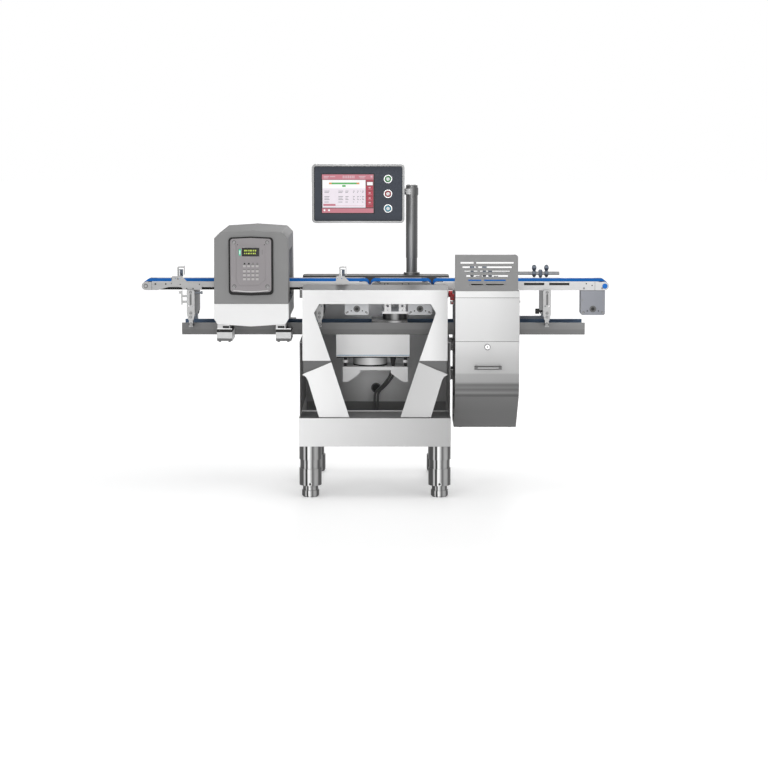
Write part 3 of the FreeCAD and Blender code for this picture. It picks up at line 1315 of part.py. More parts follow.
def cabinet():
    """Bin cabinet, and its door with lock and handle."""
    sheet_thick = "cabinet_sheet"
    inner = door_line(f"{sheet_thick} + 0.3")
    side_points = inner + [("cabinet_back", "cabinet_bottom"), ("cabinet_back", "cabinet_top"),
                           ("-conveyor_half - 8", "cabinet_top"), ("-conveyor_half - 8", "strip_top"),
                           ("-cabinet_front", "strip_top"), ("-cabinet_front", "door_top + 0.5")]
    side_points[0] = (side_points[0][0], "door_top + 0.5")
    sides = [plate(f"cabinet_side{i}", "YZ", side_points, low, sheet_thick)
             for i, low in enumerate(("cabinet_left", f"{CABINET_RIGHT} - {sheet_thick}"))]
    wide = ("cabinet_left", "cabinet_wide")
    back = block("cabinet_back_wall", wide, (f"cabinet_back - {sheet_thick}", sheet_thick),
                 ("cabinet_bottom", "cabinet_top - cabinet_bottom"))
    floor = block("cabinet_floor", wide,
                  ("-door_foot_front + 24", "cabinet_back + door_foot_front - 24"),
                  ("cabinet_bottom", sheet_thick))
    upper = block("cabinet_upper_front", wide, ("-cabinet_front", sheet_thick),
                  ("door_top + 0.5", "strip_top - door_top - 0.5"))
    seam = block("cabinet_seam", ("cabinet_left - 1", "cabinet_wide + 2"),
                 ("-cabinet_front - 1", "1 + seam_deep"), ("cabinet_top - seam_wide", "seam_wide"))
    hinge_seat = block("hood_hinge_seat",
                       ("hinge_across - hinge_radius", f"{CABINET_RIGHT} - hinge_across + hinge_radius"),
                       ("hinge_along - hinge_radius - 1", "2 * hinge_radius + 2"),
                       ("strip_top - 2 - hinge_seat_high", "hinge_seat_high"))
    pin = rod("hood_hinge_pin", "z", "hinge_radius", "hood_top - 8 - strip_top + 10",
              ("hinge_across", "hinge_along", "strip_top - 10"))
    door_pin = rod("door_hinge_pin", "x", 4, "cabinet_wide",
                   ("cabinet_left", "-door_foot_front + 9", "cabinet_bottom + 6"))
    ties = [block(f"cabinet_tie{i}", ("tray_half_wide", "cabinet_left - tray_half_wide"),
                  (low, 30), (up, 40))
            for i, (low, up) in enumerate((("-60", "560"), ("40", "560"), ("-60", "440"), ("40", "440")))]
    passage = block("rail_passage", ("cabinet_left - 1", "cabinet_wide + 2"),
                    ("-rail_half - 3", "2 * rail_half + 6"),
                    ("rail_top - rail_high - 3", "rail_high + 6"))
    walls = [cut(f"cabinet_side_open{i}", side, passage) for i, side in enumerate(sides)]
    node("bin_cabinet", cut("cabinet_with_seam",
                            joined("cabinet_solid", *walls, back, floor, upper, hinge_seat, pin,
                                   door_pin, *ties), seam))

    outer = door_line("0")
    inner_line = door_line(sheet_thick)
    foot = outer[-1]
    points = outer + list(reversed(inner_line))
    skin = plate("door_skin", "YZ", points, "cabinet_left", "cabinet_wide",
                 rounds=[(8, (4, 7))])
    lugs = []
    for i, left in enumerate(("cabinet_left + 20", f"{CABINET_RIGHT} - 32")):
        lug = block(f"door_lug{i}", (left, 12), (f"{foot[0]} + 0.5", 15), ("cabinet_bottom - 1", 14))
        lugs.append(lug)
    lug_bore = rod("door_lug_bore", "x", "4 + shaft_clearance", "cabinet_wide + 2",
                   ("cabinet_left - 1", "-door_foot_front + 9", "cabinet_bottom + 6"))
    lock_hole = rod("door_lock_hole", "y", "lock_radius - 2 + shaft_clearance", 10,
                    ("lock_across", "-cabinet_front - 1", "lock_up"))
    node("bin_door", cut("door_solid", joined("door_blank", skin, *lugs), lug_bore, lock_hole))
    face = rod("lock_face", "y", "lock_radius", 4, ("lock_across", "-cabinet_front - 4.3", "lock_up"))
    stem = rod("lock_stem", "y", "lock_radius - 2", 16, ("lock_across", "-cabinet_front - 0.3", "lock_up"))
    cam = block("lock_cam", ("lock_across - 30", 34), ("-cabinet_front + 12.7", 3), ("lock_up - 5", 10))
    slot = block("lock_slot", ("lock_across - 1", 2), ("-cabinet_front - 5", 3), ("lock_up - 5", 10))
    node("door_lock", cut("lock_solid", joined("lock_blank", face, stem, cam), slot))
    half = "(handle_long / 2)"
    grip = rod("handle_grip", "x", "handle_radius", "handle_long",
               (f"handle_across - {half}", "-cabinet_front - handle_out + handle_radius", "handle_up"))
    stands = [rod(f"handle_stand{i}", "y", "handle_radius - 1", "handle_out - handle_radius",
                  (f"handle_across {s} ({half} - handle_radius)",
                   "-cabinet_front - handle_out + handle_radius", "handle_up"))
              for i, s in enumerate(("-", "+"))]
    node("door_handle", joined("handle_solid", grip, *stands))


def hood():
    """Slotted guard plate in front of the reject point, on a vertical hinge at its right."""
    sheet_thick = "cabinet_sheet"
    front = "(-cabinet_front)"
    edge = rect(("hood_left", "hood_right"), ("hood_low", "hood_top"))
    outside = plate("hood_outside", "XZ", edge, front, "hood_return", rounds=[("hood_round", (2,))])
    pocket = rect((f"hood_left + {sheet_thick}", f"hood_right - {sheet_thick}"),
                  ("hood_low - 1", f"hood_top - {sheet_thick}"))
    inside = plate("hood_inside", "XZ", pocket, f"{front} + {sheet_thick}", "hood_return",
                   rounds=[(f"hood_round - {sheet_thick}", (2,))])
    slots = []
    middle = "(hood_left + hood_wide / 2 + 2)"
    for i in range(6):
        wide = f"(hood_slot_wide - {i} * hood_slot_step)"
        up = f"(hood_slot_first - {i} * hood_slot_pitch)"
        start = f"({middle} - {wide} / 2)"
        rest = f"({wide} - hood_slot_short - hood_slot_rib)"
        through = (f"{front} - 1", f"{sheet_thick} + 2")
        slots.append(block(f"hood_slot{i}_left", (start, "hood_slot_short"), through,
                           (up, "hood_slot_high")))
        slots.append(block(f"hood_slot{i}_right", (f"{start} + {wide} - {rest}", rest), through,
                           (up, "hood_slot_high")))
    shell = cut("hood_shell", outside, inside, *slots)
    lugs = [block(f"hood_lug{i}", ("hinge_across - hinge_lug_wide / 2", "hinge_lug_wide"),
                  (f"{front} + {sheet_thick}", f"hinge_behind - {sheet_thick} + hinge_lug_wide / 2"),
                  (up, "hinge_lug_high"))
            for i, up in enumerate(("hood_low + 10", "hood_top - 10 - hinge_lug_high"))]
    bore = rod("hood_lug_bore", "z", "hinge_radius + shaft_clearance", "hood_top - hood_low",
               ("hinge_across", "hinge_along", "hood_low"))
    node("hood", cut("hood_solid", joined("hood_blank", shell, *lugs), bore))


def main_switch():
    """Rotary isolator on the frame's right side, with its round base."""
    across = "frame_half"
    grip = rod("switch_grip", "x", "switch_radius", "switch_long - 6",
               (f"{across} + 6", "-switch_front", "switch_up"))
    bar = block("switch_bar", (f"{across} + switch_long - 2", 4), ("-switch_front - 4", 8),
                ("switch_up - switch_radius + 1", "2 * switch_radius - 2"))
    stem = rod("switch_stem", "x", 4, 6.7, (f"{across} + 0.3", "-switch_front", "switch_up"))
    node("main_switch", joined("switch_solid", grip, bar, stem))


def fasteners():
    """Screws, gland, latch and the switch's base, all fixed to the frame."""
    pieces = []
    for i, dx in enumerate(("-control_half + 14", "control_half - 14")):
        for j, up in enumerate(("control_bottom + 18", "control_top - 15")):
            pieces.append(rod(f"panel_screw{i}{j}", "y", "screw_radius", "screw_high",
                              (from_middle(dx), f"{CONTROL_FRONT} - screw_high", up)))
    for name, (_, drive) in CONVEYORS.items():
        left = f"({drive} - housing_wide / 2 - {HOUSING_OFFSETS[name]})"
        for i, dx in enumerate(("7", "housing_wide - 7")):
            for j, dz in enumerate(("8", "62")):
                pieces.append(rod(f"{name}_housing_screw{i}{j}", "y", 3.5, 2.5,
                                  (f"{left} + {dx}", "-conveyor_half - 2.5", f"{HOUSING_LOW} + {dz}")))
    for name, middle in SUPPORTS.items():
        pieces.append(rod(f"{name}_upright_bolt", "y", 5, 3,
                          (middle, "-support_half - 3", "rail_top + support_above_rail + 32")))
        pieces.append(rod(f"{name}_rail_bolt", "y", 5.5, 4,
                          (middle, "-support_half + support_thick - 4", "rail_top - 6")))
        pieces.append(rod(f"{name}_upright_bolt_top", "y", 4, 3,
                          (middle, "-support_half - 3", f"{PLATE_LOW} - 9")))
    pieces.append(rod("rear_gland", "y", "gland_radius", 14,
                      (0, "rear_panel_front - 14", "gland_up")))
    for i, up in enumerate(("330", "298")):
        pieces.append(rod(f"cabinet_side_bolt{i}", "x", 5, 4, (CABINET_RIGHT, "-100", up)))
        pieces.append(rod(f"cabinet_inner_bolt{i}", "x", 5, 4, ("cabinet_left - 4", "-100", up)))
    pieces.append(rod("cabinet_upper_bolt", "x", 5, 6, (CABINET_RIGHT, "-240", "cabinet_top - 21")))
    pieces.append(block("frame_latch", ("-frame_half - 10", 10), ("-panel_front + 6", 40),
                        ("panel_top - 32", 32)))
    switch_base = rod("switch_base", "x", "switch_radius + 2", 5,
                      ("frame_half", "-switch_front", "switch_up"))
    switch_bore = rod("switch_base_bore", "x", "4 + shaft_clearance", 7,
                      ("frame_half - 1", "-switch_front", "switch_up"))
    pieces.append(cut("switch_base_ring", switch_base, switch_bore))
    node("fasteners", *pieces)


base_tray()
legs()
frame_sides()
front_panel()
deflectors()
rear_parts()
rail()
inner_parts()
cables()
for conveyor_name, (tail_axle, drive_axle) in CONVEYORS.items():
    conveyor(conveyor_name, tail_axle, drive_axle)
slider_beds()
drive_housings()
supports()
detector()
detector_mounts()
light_barriers()
guide_rod()
terminal()
cabinet()
hood()
main_switch()
fasteners()

doc.recompute()
for item in doc.Objects:
    faults = [state for state in item.State if state in ("Invalid", "Error")]
    if faults:
        raise RuntimeError(f"{item.Name} is {faults}")
for name, item in nodes.items():
    if item.Shape.isNull() or not item.Shape.isValid():
        raise RuntimeError(f"{name} has no valid shape")

os.makedirs("parts", exist_ok=True)
for name, item in nodes.items():
    item.Shape.exportStep(f"parts/{name}.step")
print(len(nodes), "sub-parts written")
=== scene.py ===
import math

import bmesh
import bpy
from mathutils import Matrix, Vector


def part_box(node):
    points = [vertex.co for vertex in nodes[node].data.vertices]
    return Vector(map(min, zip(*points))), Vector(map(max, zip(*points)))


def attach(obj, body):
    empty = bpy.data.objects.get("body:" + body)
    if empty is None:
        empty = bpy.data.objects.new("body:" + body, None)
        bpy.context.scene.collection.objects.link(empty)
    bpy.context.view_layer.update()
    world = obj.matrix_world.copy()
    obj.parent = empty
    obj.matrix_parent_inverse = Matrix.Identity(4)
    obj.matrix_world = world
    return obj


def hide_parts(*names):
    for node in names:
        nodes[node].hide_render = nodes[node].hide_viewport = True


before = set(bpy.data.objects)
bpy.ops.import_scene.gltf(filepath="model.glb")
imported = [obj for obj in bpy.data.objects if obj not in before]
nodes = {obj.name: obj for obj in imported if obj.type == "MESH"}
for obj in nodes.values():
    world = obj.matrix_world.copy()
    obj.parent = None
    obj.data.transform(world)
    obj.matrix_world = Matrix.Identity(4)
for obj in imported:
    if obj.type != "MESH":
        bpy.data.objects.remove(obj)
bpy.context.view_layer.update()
scene = bpy.context.scene

# Lengths are in millimetres, in the machine's own frame, and MM turns them into metres.
MM = 0.001


def span(node):
    """A node's (low, high) along x, y and z, in millimetres."""
    low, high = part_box(node)
    return [(low[i] / MM, high[i] / MM) for i in range(3)]


def middle(pair):
    return (pair[0] + pair[1]) / 2


# materials

def rgba(tone):
    """A colour from a tone between 0 and 1, or from three of them."""
    return (*tone, 1) if isinstance(tone, tuple) else (tone, tone, tone, 1)


class Finish:
    """A procedural material, worked out from the object's own coordinates and normals."""

    def __init__(self, name, rough, metallic=0.0, sheen=0.3, **sockets):
        self.material = bpy.data.materials.new(name)
        self.material.use_nodes = True
        self.tree = self.material.node_tree
        self.shader = self.tree.nodes["Principled BSDF"]
        self.rough = rough
        self.shader.inputs["Metallic"].default_value = metallic
        self.shader.inputs["Roughness"].default_value = rough
        self.shader.inputs["Specular IOR Level"].default_value = sheen
        for key, value in sockets.items():
            self.shader.inputs[key.replace("_", " ")].default_value = value
        self.coordinates = self.tree.nodes.new("ShaderNodeTexCoord")

    def link(self, source, target):
        self.tree.links.new(source, target)

    def maths(self, operation, first, second=None):
        node = self.tree.nodes.new("ShaderNodeMath")
        node.operation = operation
        for socket, value in zip(node.inputs, (first, second)):
            if value is None:
                continue
            if isinstance(value, (int, float)):
                socket.default_value = value
            else:
                self.link(value, socket)
        return node.outputs[0]

    def along(self, axis, source="Object"):
        """One coordinate of the point, or of its normal."""
        parts = self.tree.nodes.new("ShaderNodeSeparateXYZ")
        self.link(self.coordinates.outputs[source], parts.inputs[0])
        return parts.outputs["xyz".index(axis)]

    def above(self, axis, limit, source="Object"):
        """1 where a coordinate in millimetres, or a part of the normal, passes a limit."""
        scale = MM if source == "Object" else 1
        return self.maths("GREATER_THAN", self.along(axis, source), limit * scale)

    def below(self, axis, limit, source="Object"):
        scale = MM if source == "Object" else 1
        return self.maths("LESS_THAN", self.along(axis, source), limit * scale)

    def both(self, first, second):
        return self.maths("MULTIPLY", first, second)

    def stops(self, value, stops):
        """Tones along a value, given as (value, tone)."""
        first, last = stops[0][0], stops[-1][0]
        share = self.tree.nodes.new("ShaderNodeMapRange")
        share.inputs["From Min"].default_value = first
        share.inputs["From Max"].default_value = last
        self.link(value, share.inputs["Value"])
        ramp = self.tree.nodes.new("ShaderNodeValToRGB")
        elements = ramp.color_ramp.elements
        while len(elements) < len(stops):
            elements.new(0.5)
        for element, (place, tone) in zip(elements, stops):
            element.position = (place - first) / (last - first)
            element.color = rgba(tone)
        self.link(share.outputs["Result"], ramp.inputs["Fac"])
        return ramp.outputs["Color"]

    def tones(self, axis, stops):
        """Tones along an axis, given as (millimetres, tone)."""
        return self.stops(self.along(axis), [(place * MM, tone) for place, tone in stops])

    def flat(self, tone):
        node = self.tree.nodes.new("ShaderNodeRGB")
        node.outputs[0].default_value = rgba(tone)
        return node.outputs[0]

    def mix(self, mask, first, second, blend="MIX"):
        """The first colour where the mask is 0 and the second where it is 1."""
        node = self.tree.nodes.new("ShaderNodeMix")
        node.data_type = "RGBA"
        node.blend_type = blend
        for key, value in (("Factor", mask), ("A", first), ("B", second)):
            sockets = [s for s in node.inputs if s.name == key and s.enabled]
            if isinstance(value, (int, float, tuple)) and key != "Factor":
                sockets[0].default_value = rgba(value)
            elif isinstance(value, (int, float)):
                sockets[0].default_value = value
            else:
                self.link(value, sockets[0])
        return [s for s in node.outputs if s.enabled][0]

    def noise(self, scale, detail=3.0, stretch=(1, 1, 1)):
        mapping = self.tree.nodes.new("ShaderNodeMapping")
        mapping.inputs["Scale"].default_value = stretch
        node = self.tree.nodes.new("ShaderNodeTexNoise")
        node.inputs["Scale"].default_value = scale
        node.inputs["Detail"].default_value = detail
        self.link(self.coordinates.outputs["Object"], mapping.inputs["Vector"])
        self.link(mapping.outputs["Vector"], node.inputs["Vector"])
        return node.outputs["Fac"]

    def done(self, colour, fine, clouds, vary, bump, distance=0.0003):
        """Varies the colour by slow clouds and a fine grain, and gives the grain some relief."""
        low, high = rgba(1 - vary), rgba(1.0)
        slow = self.stops(clouds, [(0.3, low[0]), (0.7, high[0])])
        quick = self.stops(fine, [(0.3, 1 - vary / 2), (0.7, 1.0)])
        toned = self.mix(1.0, self.mix(1.0, colour, slow, "MULTIPLY"), quick, "MULTIPLY")
        self.link(toned, self.shader.inputs["Base Color"])
        gloss = self.stops(fine, [(0.3, max(0.02, self.rough - 0.04)), (0.7, self.rough + 0.05)])
        self.link(gloss, self.shader.inputs["Roughness"])
        relief = self.tree.nodes.new("ShaderNodeBump")
        relief.inputs["Strength"].default_value = bump
        relief.inputs["Distance"].default_value = distance
        self.link(fine, relief.inputs["Height"])
        self.link(relief.outputs["Normal"], self.shader.inputs["Normal"])
        return self.material

    def brushed(self, colour, grain="x", vary=0.03):
        """Fine scratches along one axis."""
        stretch = {"x": (1, 90, 90), "y": (90, 1, 90), "z": (90, 90, 1)}[grain]
        return self.done(colour, self.noise(14.0, 4.0, stretch), self.noise(4.0), vary, 0.03)

    def grained(self, colour, scale=900.0, bump=0.1, vary=0.05):
        """Moulded plastic, paint or rubber."""
        return self.done(colour, self.noise(scale, 2.0), self.noise(8.0), vary, bump)


def steel(name, tone, rough=0.38, metallic=0.6, grain="x", vary=0.03, sheen=0.3):
    finish = Finish(name, rough, metallic, sheen)
    return finish.brushed(finish.flat(tone), grain, vary)


def plastic(name, tone, rough=0.5, scale=900.0, bump=0.1, vary=0.05, metallic=0.0, sheen=0.3):
    finish = Finish(name, rough, metallic, sheen)
    return finish.grained(finish.flat(tone), scale, bump, vary)


def lit(name, tone, strength=0.8):
    """Part of a lit display, with the faint unevenness of a backlight."""
    finish = Finish(name, 0.3, Emission_Strength=strength)
    finish.shader.inputs["Base Color"].default_value = rgba(0.02)
    glow = finish.stops(finish.noise(30.0), [(0.3, tuple(0.94 * c for c in tone)), (0.7, tone)])
    finish.link(glow, finish.shader.inputs["Emission Color"])
    return finish.material


def painted_reflection_steel(name, stops, centre, mirrored=False, rough=0.3, metallic=0.5, flat_tone=0.3):
    """Polished round steel: bright and dark bands of painted reflection round an upright axis at the
    centre.

    Mirrored is for four alike, one in each quarter round the middle of the machine.
    """
    finish = Finish(name, rough, metallic)
    offsets = {}
    for axis, place in zip("xy", centre):
        here = finish.along(axis)
        start = place * MM
        if mirrored:
            start = finish.maths("MULTIPLY", finish.maths("SIGN", here), start)
        offsets[axis] = finish.maths("SUBTRACT", here, start)
    turn = finish.maths("ARCTAN2", offsets["y"], offsets["x"])
    share = finish.maths("ADD", finish.maths("DIVIDE", turn, 2 * math.pi), 0.5)
    bands = finish.stops(share, stops)
    upright = finish.maths("ABSOLUTE", finish.along("z", "Normal"))
    ends = finish.maths("GREATER_THAN", upright, 0.7)
    return finish.brushed(finish.mix(ends, bands, flat_tone), "z", 0.04)


def bands_round(front):
    """Bands over the front half of a turn, repeated over the rear half."""
    return front + [(place + 0.5, tone) for place, tone in front[1:]]


# painted reflections: bright and dark bands round the legs, the pole and the load cell's drum, as
# (share of a turn, tone)
LEG_BANDS = bands_round([(0.0, 0.15), (0.072, 0.06), (0.145, 0.09), (0.158, 0.6), (0.176, 0.55),
                         (0.186, 0.02), (0.208, 0.025), (0.219, 0.98), (0.242, 0.88), (0.268, 0.4),
                         (0.285, 0.1), (0.325, 0.42), (0.365, 0.4), (0.388, 0.1), (0.436, 0.11),
                         (0.5, 0.15)])
POLE_BANDS = bands_round([(0.0, 0.04), (0.1, 0.08), (0.17, 0.26), (0.21, 0.34), (0.25, 0.2),
                          (0.32, 0.09), (0.4, 0.13), (0.45, 0.18), (0.5, 0.05)])
CELL_BANDS = bands_round([(0.0, 0.02), (0.1, 0.03), (0.14, 0.12), (0.19, 0.06), (0.235, 0.45),
                          (0.265, 0.45), (0.31, 0.05), (0.36, 0.13), (0.41, 0.03), (0.5, 0.02)])


# the upper edge of each deflector runs up towards the middle from the tip of the sheet
GUSSET_SLOPE = 0.412
GUSSET_RISE = 488 + 290.4 * GUSSET_SLOPE


def front_panel_steel():
    finish = Finish("front_panel_steel", 0.45, 0.0, 0.08)
    # painted light: tones across the sheet, and painted shade on the sloped strip that faces up
    sheet = finish.tones("x", [(-290, 0.94), (-180, 0.86), (0, 0.9), (150, 0.96), (220, 0.94),
                               (290, 0.76)])
    slope = finish.above("z", 0.4, "Normal")
    return finish.brushed(finish.mix(slope, sheet, 0.1), "x", 0.02)


def deflector_steel():
    """Tilted sheets, with the flat gussets above their upper edges in shade."""
    finish = Finish("deflector_steel", 0.42, 0.25, 0.15)
    # painted light: the sheets are lighter on the left and darker to the right
    sheet = finish.tones("x", [(-290, 0.82), (-110, 0.7), (-90, 0.64), (90, 0.58), (110, 0.52),
                               (290, 0.58)])
    across = finish.maths("ABSOLUTE", finish.along("x"))
    rise = finish.maths("ADD", finish.along("z"), finish.maths("MULTIPLY", across, GUSSET_SLOPE))
    gusset = finish.maths("GREATER_THAN", rise, GUSSET_RISE * MM)
    return finish.brushed(finish.mix(gusset, sheet, 0.14), "x", 0.03)


def tray_steel():
    finish = Finish("tray_steel", 0.42, 0.2, 0.1)
    # painted light across the front, lighter on the left; painted shade on the inner face of the rear
    # wall and on the faces that turn up
    sheet = finish.tones("x", [(-302, 0.78), (0, 0.6), (302, 0.44)])
    inside = finish.both(finish.below("y", -0.5, "Normal"), finish.above("y", 0))
    flat = finish.above("z", 0.5, "Normal")
    toned = finish.mix(inside, sheet, 0.22)
    return finish.brushed(finish.mix(flat, toned, 0.24), "x", 0.03)


def rail_paint():
    finish = Finish("rail_paint", 0.45, 0.1, 0.15)
    # painted light: the front face is lighter towards its top and to the right; painted shade makes
    # the inner faces a darker blue-grey
    front = finish.tones("z", [(627, 0.175), (648, 0.18), (649.5, 0.205), (676, 0.22)])
    across = finish.tones("x", [(-789, 1.0), (300, 1.1), (854, 1.3)])
    toned = finish.mix(1.0, front, across, "MULTIPLY")
    inner = finish.above("y", 0)
    return finish.grained(finish.mix(inner, toned, (0.11, 0.165, 0.25)), 700.0, 0.05)


def support_steel():
    finish = Finish("support_steel", 0.42, 0.3)
    front = span("conveyor_supports")[1][0]
    # painted shade: the side faces are near black, and the web set back behind the front is a darker
    # blue-grey
    side = finish.maths("GREATER_THAN", finish.maths("ABSOLUTE", finish.along("x", "Normal")), 0.5)
    web = finish.mix(finish.above("y", front + 8), 0.48, (0.2, 0.22, 0.25))
    return finish.brushed(finish.mix(side, web, (0.03, 0.036, 0.046)), "z", 0.04)


def bed_rim_and_shade():
    """Light rims beside the belt, and black painted shade on the flanges below."""
    finish = Finish("bed_rim_and_shade", 0.5, 0.0, 0.1)
    low, high = span("slider_beds")[2]
    rim = finish.above("z", high - 3)
    return finish.grained(finish.mix(rim, 0.015, 0.62), 700.0, 0.08)


def terminal_finish():
    """Silver rim round a dark recessed face."""
    finish = Finish("terminal_finish", 0.36, 0.4)
    front = span("terminal_housing")[1][0]
    face = finish.both(finish.below("y", -0.5, "Normal"), finish.above("y", front + 1.5))
    # painted light: the rim is lighter just left of the middle; the face is darker towards its top
    # and bottom
    rim = finish.tones("x", [(-266, 0.28), (-100, 0.38), (120, 0.3)])
    dark = finish.tones("z", [(1068, (0.018, 0.022, 0.03)), (1100, (0.026, 0.031, 0.042)),
                              (1280, (0.027, 0.032, 0.043)), (1314, (0.018, 0.022, 0.03))])
    return finish.brushed(finish.mix(face, rim, dark), "x", 0.03)


def cabinet_steel():
    finish = Finish("cabinet_steel", 0.42, 0.2, 0.1)
    # painted light: the front lightens upward and darkens to the right; the other faces are a flat
    # darker grey as painted shade
    sheet = finish.tones("z", [(600, 0.66), (700, 0.7), (799, 0.74), (801, 0.77), (826, 0.8)])
    across = finish.tones("x", [(320, 1.0), (450, 0.94), (574, 0.78)])
    front = finish.below("y", -290)
    toned = finish.mix(1.0, sheet, across, "MULTIPLY")
    return finish.brushed(finish.mix(front, 0.42, toned), "x", 0.02)


def door_steel():
    """Bright upright sheet, with bands of painted shade where it bends back to its foot."""
    finish = Finish("door_steel", 0.42, 0.2, 0.1)
    sheet = finish.tones("z", [(250, 0.22), (330, 0.21), (400, 0.23), (404, 0.14), (410, 0.15),
                               (418, 0.27), (424, 0.23), (432, 0.16), (440, 0.23), (452, 0.17),
                               (458, 0.28), (464, 0.37), (494, 0.38), (500, 0.48), (560, 0.55),
                               (624, 0.67)])
    # painted light: a little darker to the right
    across = finish.tones("x", [(320, 1.0), (470, 0.95), (574, 0.9)])
    return finish.brushed(finish.mix(1.0, sheet, across, "MULTIPLY"), "x", 0.02)


def rear_panel_steel():
    """Painted light: dark at its edges, with a painted pool of light low in the middle."""
    finish = Finish("rear_panel_steel", 0.5, 0.0, 0.2)
    across = finish.tones("x", [(-290, 0.45), (-150, 0.55), (-40, 1.0), (60, 1.0), (160, 0.75),
                                (290, 0.5)])
    up = finish.tones("z", [(300, 0.75), (400, 1.0), (520, 0.9), (640, 1.1), (700, 1.8), (820, 1.9)])
    inside = finish.mix(1.0, across, up, "MULTIPLY")
    outer = finish.above("y", 0.5, "Normal")
    return finish.brushed(finish.mix(outer, inside, 0.55), "x", 0.03)


def housing_grey():
    finish = Finish("detector_paint", 0.6, 0.0, 0.1)
    # painted shade: faces that turn up are darker than the upright ones
    top = finish.stops(finish.along("z", "Normal"), [(-0.2, 0.275), (0.3, 0.3), (1.0, 0.185)])
    return finish.grained(top, 1100.0, 0.12, 0.04)


def plate_steel():
    """Side plates in painted light: darker at the left end of the line, lighter towards the right."""
    finish = Finish("plate_steel", 0.4, 0.25, 0.2)
    sheet = finish.tones("x", [(-948, 0.4), (-300, 0.5), (350, 0.58), (948, 0.62)])
    return finish.brushed(sheet, "x", 0.03)


def housing_metal():
    """Drive housings: the two inside the frame are lighter than the one at the outfeed end."""
    finish = Finish("housing_metal", 0.5, 0.1, 0.1)
    grey = finish.tones("x", [(-124, (0.74, 0.75, 0.77)), (232, (0.72, 0.73, 0.75)),
                              (834, (0.345, 0.355, 0.39)), (932, (0.3, 0.31, 0.345))])
    return finish.grained(grey, 500.0, 0.08, 0.05)


def mount_steel():
    """Light faces, and painted shade on the downward bevel along the foot."""
    finish = Finish("mount_steel", 0.42, 0.1, 0.2)
    under = finish.below("z", -0.3, "Normal")
    return finish.brushed(finish.mix(under, 0.62, 0.2), "x", 0.03)


# height of the gap between the electronics box and the shelf of its bracket
BRACKET_GAP = 42


def bracket_steel():
    """Light face; in the gap over it a soft grey drum, dark posts with bright nuts, and painted
    shade.
    """
    finish = Finish("bracket_steel", 0.45, 0.1, 0.1)
    top = span("box_bracket")[2][1]
    shelf = top - BRACKET_GAP
    # painted shading on the drum seen in the gap: light in its middle, dark at its sides
    gap = finish.tones("x", [(-133, 0.04), (-93, 0.04), (-92, 0.25), (-70, 0.55), (-22, 0.8),
                             (26, 0.65), (46, 0.4), (49, 0.04), (133, 0.04)])
    across = finish.maths("ABSOLUTE", finish.along("x"))
    middle_up = top - BRACKET_GAP / 2
    nuts = finish.both(finish.above("z", middle_up - 5.5), finish.below("z", middle_up + 5.5))
    nuts = finish.both(nuts, finish.maths("GREATER_THAN", across, 108 * MM))
    # painted shade just over the shelf
    shade = finish.below("z", shelf + 7)
    inside = finish.mix(shade, finish.mix(nuts, gap, 0.85), 0.02)
    return finish.brushed(finish.mix(finish.above("z", shelf + 0.5), 0.78, inside), "x", 0.03)


def handle_painted_light():
    """Bar with a painted highlight along its middle and painted shade at its upper and lower edges.
    """
    finish = Finish("handle_painted_light", 0.4, 0.3)
    low, high = span("door_handle")[2]
    bar = finish.tones("z", [(low, 0.03), (low + 2.5, 0.08), (middle((low, high)), 0.5),
                             (high - 2.5, 0.08), (high, 0.03)])
    return finish.brushed(bar, "x", 0.03)


# middle line of the guide rod, as (y, z)
ROD_AXIS = (119, 862)


def rod_painted_light():
    """Painted highlight along the middle of the rod, painted shade above and below."""
    finish = Finish("rod_painted_light", 0.4, 0.3)
    up = ROD_AXIS[1]
    tone = finish.tones("z", [(up - 7, 0.02), (up - 4.5, 0.1), (up, 0.55), (up + 3, 0.3),
                              (up + 7, 0.03)])
    return finish.brushed(tone, "x", 0.04)


def clamp_painted_light():
    """Blue-grey castings in painted light: darker where they turn up or down."""
    finish = Finish("clamp_painted_light", 0.4, 0.2)
    facing = finish.stops(finish.along("z", "Normal"), [(-0.9, (0.012, 0.016, 0.022)),
                                                        (-0.1, (0.09, 0.105, 0.13)),
                                                        (0.2, (0.24, 0.27, 0.31)),
                                                        (0.9, (0.04, 0.05, 0.066))])
    return finish.grained(facing, 700.0, 0.06, 0.06)

foot = span("foot_front_left")
LEG_CENTRE = (abs(middle(foot[0])), abs(middle(foot[1])))
pole = span("terminal_pole")
POLE_CENTRE = (middle(pole[0]), middle(pole[1]))
CELL_CENTRE = (middle(span("load_plate")[0]), 0)

